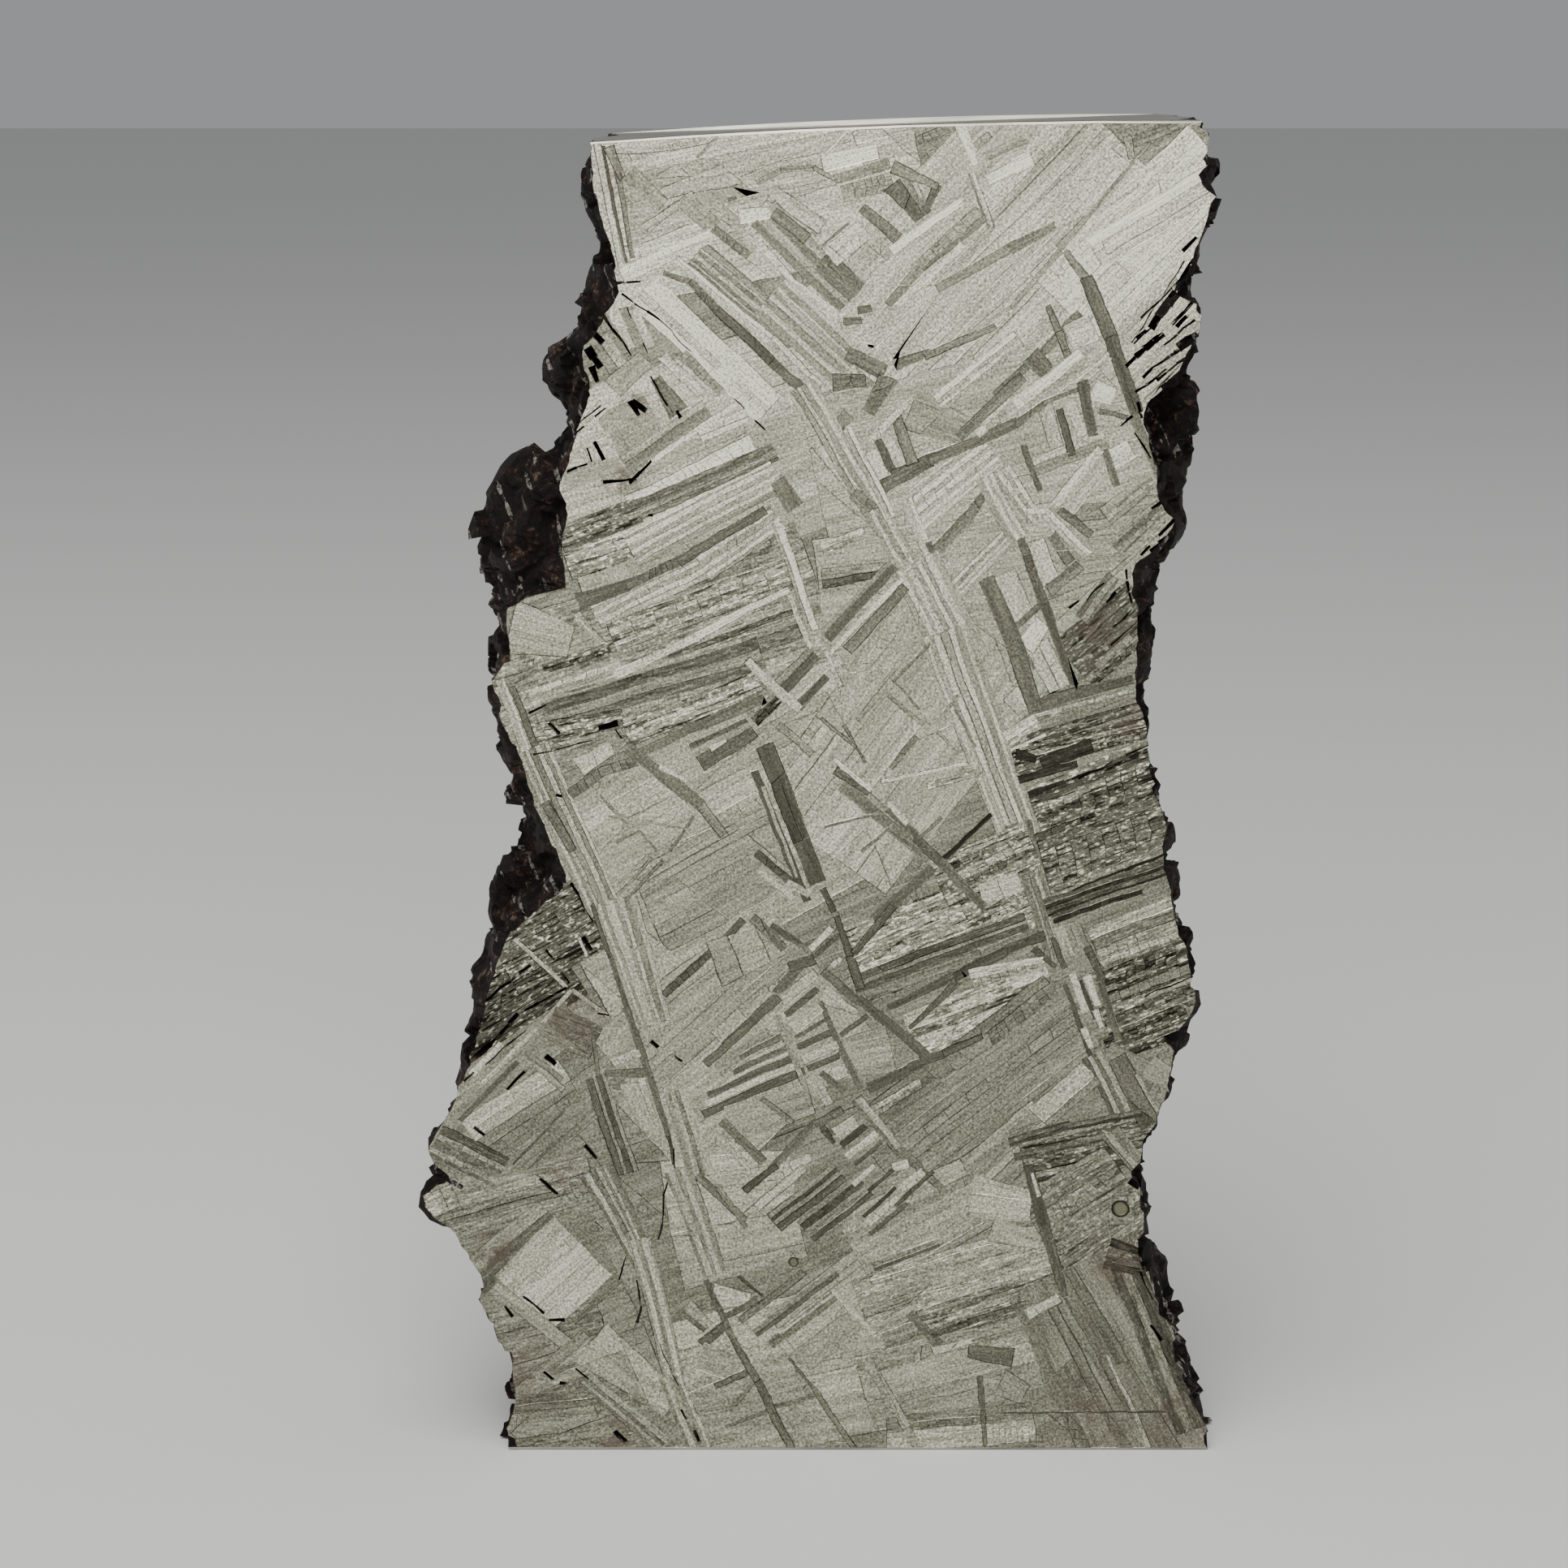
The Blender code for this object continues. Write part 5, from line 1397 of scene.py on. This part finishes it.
def node(tree, kind, settings=None, inputs=None, stops=None):
    """Add a shader node with its settings, its inputs or links, and a ramp's stops."""
    made = tree.nodes.new(kind)
    for name, value in (settings or {}).items():
        setattr(made, name, value)
    for name, source in (inputs or {}).items():
        if isinstance(source, bpy.types.NodeSocket):
            tree.links.new(source, made.inputs[name])
        else:
            made.inputs[name].default_value = source
    if stops:
        ends = made.color_ramp.elements
        for element, (place, colour) in zip(ends, (stops[0], stops[-1])):
            element.position = place
            element.color = linear(colour)
        for place, colour in stops[1:-1]:
            ends.new(place).color = linear(colour)
    return made


def math_node(tree, operation, *values):
    """Combine numbers in a shader."""
    inputs = dict(enumerate(values))
    return node(tree, "ShaderNodeMath", {"operation": operation}, inputs).outputs[0]


def etched_material():
    """Etched nickel-iron: pale satin plates, each with its own grain and brightness."""
    material = bpy.data.materials.new("etched nickel-iron")
    material.use_nodes = True
    tree = material.node_tree
    surface = tree.nodes["Principled BSDF"]
    tone, lie, ripple, rim, shift = [
        node(tree, "ShaderNodeAttribute", {"attribute_name": name}).outputs["Fac"] for name in FINISH
    ]
    place = node(tree, "ShaderNodeTexCoord").outputs["Object"]
    place = node(tree, "ShaderNodeVectorMath", {"operation": "SCALE"}, {0: place, "Scale": 1.0 / MM}).outputs[0]
    own = node(tree, "ShaderNodeCombineXYZ", None, {"Y": shift}).outputs[0]
    # Along the plate, then the plate's own part of the pattern, then across it.
    turned = node(
        tree, "ShaderNodeVectorRotate", {"rotation_type": "Y_AXIS"}, {"Vector": place, "Angle": lie},
    ).outputs[0]
    turned = node(tree, "ShaderNodeVectorMath", {"operation": "ADD"}, {0: turned, 1: own}).outputs[0]

    # Long soft streaks along each plate and finer lines among them.
    stretch = node(tree, "ShaderNodeVectorMath", {"operation": "MULTIPLY"}, {0: turned, 1: (0.3, 1.0, 3.2)})
    streaks = node(tree, "ShaderNodeTexNoise", None, {"Vector": stretch.outputs[0], "Scale": 1.0, "Detail": 3.0})
    stretch = node(tree, "ShaderNodeVectorMath", {"operation": "MULTIPLY"}, {0: turned, 1: (1.0, 1.0, 11.0)})
    lines = node(tree, "ShaderNodeTexNoise", None, {"Vector": stretch.outputs[0], "Scale": 1.0, "Detail": 2.0})
    # The salt and pepper grain that etching leaves.
    grain = node(tree, "ShaderNodeTexNoise", None, {"Vector": place, "Scale": 9.0, "Detail": 3.0, "Roughness": 0.75})
    # Rippled plates: broken dark lines along the plate and bright facets between them, painted into the colour as
    # shade in the slits and glints on the facets.
    stretch = node(tree, "ShaderNodeVectorMath", {"operation": "MULTIPLY"}, {0: turned, 1: (0.8, 1.0, 8.0)})
    slits = node(tree, "ShaderNodeTexNoise", None, {"Vector": stretch.outputs[0], "Scale": 1.0, "Detail": 3.0})
    stretch = node(tree, "ShaderNodeVectorMath", {"operation": "MULTIPLY"}, {0: turned, 1: (3.5, 1.0, 8.0)})
    facets = node(tree, "ShaderNodeTexNoise", None, {"Vector": stretch.outputs[0], "Scale": 1.0, "Detail": 1.0})
    dark = node(
        tree, "ShaderNodeMapRange", None,
        {"Value": slits.outputs["Fac"], "From Min": 0.46, "From Max": 0.36, "To Min": 0.0, "To Max": 0.45},
    ).outputs[0]
    bright = node(
        tree, "ShaderNodeMapRange", None,
        {"Value": facets.outputs["Fac"], "From Min": 0.56, "From Max": 0.68, "To Min": 0.0, "To Max": 0.5},
    ).outputs[0]

    level = math_node(tree, "MULTIPLY_ADD", streaks.outputs["Fac"], 0.4, tone)
    # The finer lines show most where the plate is rippled.
    fine = math_node(tree, "MULTIPLY_ADD", ripple, 0.4, 0.22)
    fine = math_node(tree, "MULTIPLY", math_node(tree, "SUBTRACT", lines.outputs["Fac"], 0.5), fine)
    level = math_node(tree, "ADD", level, fine)
    # Dark plates are smoother than pale ones.
    speck = math_node(tree, "MULTIPLY", math_node(tree, "SUBTRACT", grain.outputs["Fac"], 0.5), tone)
    level = math_node(tree, "MULTIPLY_ADD", speck, 1.9, level)
    level = math_node(tree, "SUBTRACT", level, 0.2)
    # The ripple's painted shade and painted glints, added to the colour here and to the bump below.
    ripple_glint_and_shade = math_node(tree, "MULTIPLY", math_node(tree, "SUBTRACT", bright, dark), ripple)
    level = math_node(tree, "ADD", level, ripple_glint_and_shade)
    # The rims: a dark rim is painted shade along a plate's edge, and a bright rim is the paler taenite.
    level = math_node(tree, "MULTIPLY_ADD", rim, 0.3, level)
    colour = node(tree, "ShaderNodeValToRGB", None, {"Fac": level}, METAL_TONES).outputs["Color"]

    # Rust in a few places, broken up by the grain.
    stain = 0.0
    for (across, up), radius, strength in RUST:
        away = node(
            tree, "ShaderNodeVectorMath", {"operation": "DISTANCE"},
            {0: place, 1: (across, -THICKNESS / 2.0, up)},
        ).outputs["Value"]
        spot = node(
            tree, "ShaderNodeMapRange", {"interpolation_type": "SMOOTHSTEP"},
            {"Value": away, "From Min": radius * 1.4, "From Max": radius * 0.2, "To Min": 0.0, "To Max": strength},
        ).outputs[0]
        stain = math_node(tree, "MAXIMUM", stain, spot)
    patches = node(tree, "ShaderNodeTexNoise", None, {"Vector": place, "Scale": 1.6, "Detail": 4.0})
    patchy = node(
        tree, "ShaderNodeMapRange", None,
        {"Value": patches.outputs["Fac"], "From Min": 0.38, "From Max": 0.62},
    ).outputs[0]
    stain = math_node(tree, "MULTIPLY", stain, patchy)
    rusty = node(
        tree, "ShaderNodeMix", {"data_type": "RGBA"}, {0: stain, 6: colour, 7: linear(RUST_COLOUR)},
    ).outputs[2]
    tree.links.new(rusty, surface.inputs["Base Color"])

    metallic = math_node(tree, "MULTIPLY_ADD", stain, -0.6, 1.0)
    tree.links.new(metallic, surface.inputs["Metallic"])
    surface.inputs["Roughness"].default_value = 0.46
    height = math_node(tree, "MULTIPLY_ADD", grain.outputs["Fac"], 0.5, lines.outputs["Fac"])
    height = math_node(tree, "ADD", height, ripple_glint_and_shade)
    bump = node(tree, "ShaderNodeBump", None, {"Height": height, "Strength": 0.6, "Distance": 0.03 * MM})
    tree.links.new(bump.outputs["Normal"], surface.inputs["Normal"])
    return material


def crust_material():
    """Weathered crust: near-black oxide and rust, with bare metal on the worn high spots."""
    material = bpy.data.materials.new("weathered crust")
    material.use_nodes = True
    tree = material.node_tree
    surface = tree.nodes["Principled BSDF"]
    place = node(tree, "ShaderNodeTexCoord").outputs["Object"]
    place = node(tree, "ShaderNodeVectorMath", {"operation": "SCALE"}, {0: place, "Scale": 1.0 / MM}).outputs[0]
    patches = node(tree, "ShaderNodeTexNoise", None, {"Vector": place, "Scale": 0.7, "Detail": 6.0, "Roughness": 0.6})
    crumbs = node(tree, "ShaderNodeTexNoise", None, {"Vector": place, "Scale": 3.2, "Detail": 6.0, "Roughness": 0.8})
    level = math_node(tree, "MULTIPLY_ADD", crumbs.outputs["Fac"], 1.8, patches.outputs["Fac"])
    level = math_node(tree, "SUBTRACT", level, 0.86)
    colour = node(tree, "ShaderNodeValToRGB", None, {"Fac": level}, CRUST_TONES).outputs["Color"]
    # Small bars of bare metal that lie along the plates.
    turned = node(
        tree, "ShaderNodeVectorRotate", {"rotation_type": "Y_AXIS"}, {"Vector": place, "Angle": math.radians(STEEP)},
    ).outputs[0]
    turned = node(tree, "ShaderNodeVectorMath", {"operation": "MULTIPLY"}, {0: turned, 1: (0.8, 1.6, 5.5)}).outputs[0]
    bars = node(tree, "ShaderNodeTexVoronoi", None, {"Vector": turned, "Scale": 1.0}).outputs["Color"]
    bars = node(tree, "ShaderNodeSeparateColor", None, {"Color": bars}).outputs["Red"]
    metal = node(tree, "ShaderNodeMapRange", None, {"Value": bars, "From Min": 0.93, "From Max": 0.94}).outputs[0]
    worn = node(
        tree, "ShaderNodeMapRange", None, {"Value": crumbs.outputs["Fac"], "From Min": 0.46, "From Max": 0.54},
    ).outputs[0]
    metal = math_node(tree, "MULTIPLY", metal, worn)
    colour = node(
        tree, "ShaderNodeMix", {"data_type": "RGBA"}, {0: metal, 6: colour, 7: linear(BARE_COLOUR)},
    ).outputs[2]
    tree.links.new(colour, surface.inputs["Base Color"])
    tree.links.new(metal, surface.inputs["Metallic"])
    surface.inputs["Specular IOR Level"].default_value = 0.25
    surface.inputs["Roughness"].default_value = 0.62
    bump = node(
        tree, "ShaderNodeBump", None,
        {"Height": crumbs.outputs["Fac"], "Strength": 1.0, "Distance": 0.9 * MM},
    )
    tree.links.new(bump.outputs["Normal"], surface.inputs["Normal"])
    return material


def sawn_material():
    """Ground saw cuts: plain metal with fine marks along the slab."""
    material = bpy.data.materials.new("ground saw cut")
    material.use_nodes = True
    tree = material.node_tree
    surface = tree.nodes["Principled BSDF"]
    place = node(tree, "ShaderNodeTexCoord").outputs["Object"]
    place = node(tree, "ShaderNodeVectorMath", {"operation": "MULTIPLY"}, {0: place, 1: (300.0, 9000.0, 300.0)}).outputs[0]
    marks = node(tree, "ShaderNodeTexNoise", None, {"Vector": place, "Scale": 1.0, "Detail": 2.0})
    colour = node(
        tree, "ShaderNodeValToRGB", None, {"Fac": marks.outputs["Fac"]}, [(0.3, "8F8B80"), (0.7, "BDB9AC")],
    ).outputs["Color"]
    tree.links.new(colour, surface.inputs["Base Color"])
    surface.inputs["Metallic"].default_value = 1.0
    surface.inputs["Roughness"].default_value = 0.34
    return material


def nodule_material():
    """Round inclusions: dull bronze-grey mineral."""
    material = bpy.data.materials.new("dark nodule")
    material.use_nodes = True
    surface = material.node_tree.nodes["Principled BSDF"]
    surface.inputs["Base Color"].default_value = linear("66644F")
    surface.inputs["Metallic"].default_value = 0.3
    surface.inputs["Roughness"].default_value = 0.5
    return material


def build_slice():
    """The whole slice as one closed piece."""
    chance = random.Random(SEED)
    bm = start_body()
    side = bm.faces.layers.int.new("side")
    bm.faces.layers.int.new("kind")
    bm.faces.layers.int.new("owner")
    for name in FINISH:
        bm.faces.layers.float.new(name)
    merge_flats(bm, side)
    soften_sawn_edges(bm, side)
    break_outline(bm, side)
    cuts = (lay_front(bm, chance), lay_back(bm, chance))
    roughen_crust(bm, side)
    for cut in cuts:
        read_boxes(cut)
        warp(cut)
        raise_rims(cut, chance)
    kind = bm.faces.layers.int["kind"]
    for face in bm.faces:
        if face[side] in (FRONT, BACK):
            face.material_index = {METAL: 0, GAP: 1, NODULE: 3}[face[kind]]
        else:
            face.material_index = 1 if face[side] == CRUST else 2
    part_bridges(bm)
    bmesh.ops.triangulate(bm, faces=[f for f in bm.faces if len(f.verts) > 4], ngon_method="EAR_CLIP")
    drop_flaps(bm)
    bmesh.ops.scale(bm, vec=(MM, MM, MM), verts=bm.verts)
    for name in ("side", "kind", "owner"):
        bm.faces.layers.int.remove(bm.faces.layers.int[name])
    mesh = bpy.data.meshes.new("meteorite_slice")
    bm.to_mesh(mesh)
    bm.free()
    for material in (etched_material(), crust_material(), sawn_material(), nodule_material()):
        mesh.materials.append(material)
    piece = bpy.data.objects.new("meteorite_slice", mesh)
    bpy.context.scene.collection.objects.link(piece)
    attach(piece, "root")
    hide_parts("slice")
    return piece


def build_floor():
    """A plain pale floor for the slice to stand on."""
    mesh = bpy.data.meshes.new("floor")
    bm = bmesh.new()
    bmesh.ops.create_grid(bm, x_segments=1, y_segments=1, size=2.0)
    bm.to_mesh(mesh)
    bm.free()
    floor = bpy.data.objects.new("floor", mesh)
    bpy.context.scene.collection.objects.link(floor)
    material = bpy.data.materials.new("pale matt floor")
    material.use_nodes = True
    surface = material.node_tree.nodes["Principled BSDF"]
    surface.inputs["Base Color"].default_value = linear("DDDDDA")
    surface.inputs["Roughness"].default_value = 0.8
    mesh.materials.append(material)
    floor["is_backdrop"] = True


def add_light(name, place, size, power):
    """A square soft light that faces the middle of the slice."""
    data = bpy.data.lights.new(name, "AREA")
    data.size = size
    data.energy = power
    light = bpy.data.objects.new(name, data)
    light.location = place
    light.rotation_euler = (Vector((0.0, 0.0, 0.03)) - Vector(place)).to_track_quat("-Z", "Y").to_euler()
    bpy.context.scene.collection.objects.link(light)


def light_studio():
    """Soft even daylight, with the most from above and in front."""
    world = bpy.data.worlds.new("studio")
    world.use_nodes = True
    background = world.node_tree.nodes["Background"]
    background.inputs["Color"].default_value = linear("E4E6E8")
    background.inputs["Strength"].default_value = 0.4
    bpy.context.scene.world = world
    add_light("overhead", (-0.06, -0.20, 0.42), 0.35, 1.8)
    add_light("front", (-0.05, -0.60, 0.28), 0.45, 2.2)


def place_camera():
    """The camera as it stood for the photograph."""
    data = bpy.data.cameras.new("camera")
    data.lens = CAMERA_LENS
    data.sensor_width = CAMERA_SENSOR
    data.clip_start = 0.01
    camera = bpy.data.objects.new("camera", data)
    camera.location = (CAMERA_ACROSS, -THICKNESS / 2.0 * MM - CAMERA_FROM_CUT, CAMERA_HEIGHT)
    camera.rotation_euler = (math.radians(90.0 - CAMERA_PITCH), 0.0, 0.0)
    bpy.context.scene.collection.objects.link(camera)
    bpy.context.scene.camera = camera


def main():
    build_slice()
    build_floor()
    light_studio()
    place_camera()
    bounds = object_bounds()
    {"cad": plain(cad_box), "visual": plain(bounds)}


def plain(value):
    """Vectors and nested sequences as plain lists."""
    if isinstance(value, dict):
        return {key: plain(part) for key, part in value.items()}
    if isinstance(value, (int, float, str)):
        return value
    return [plain(part) for part in value]


main()
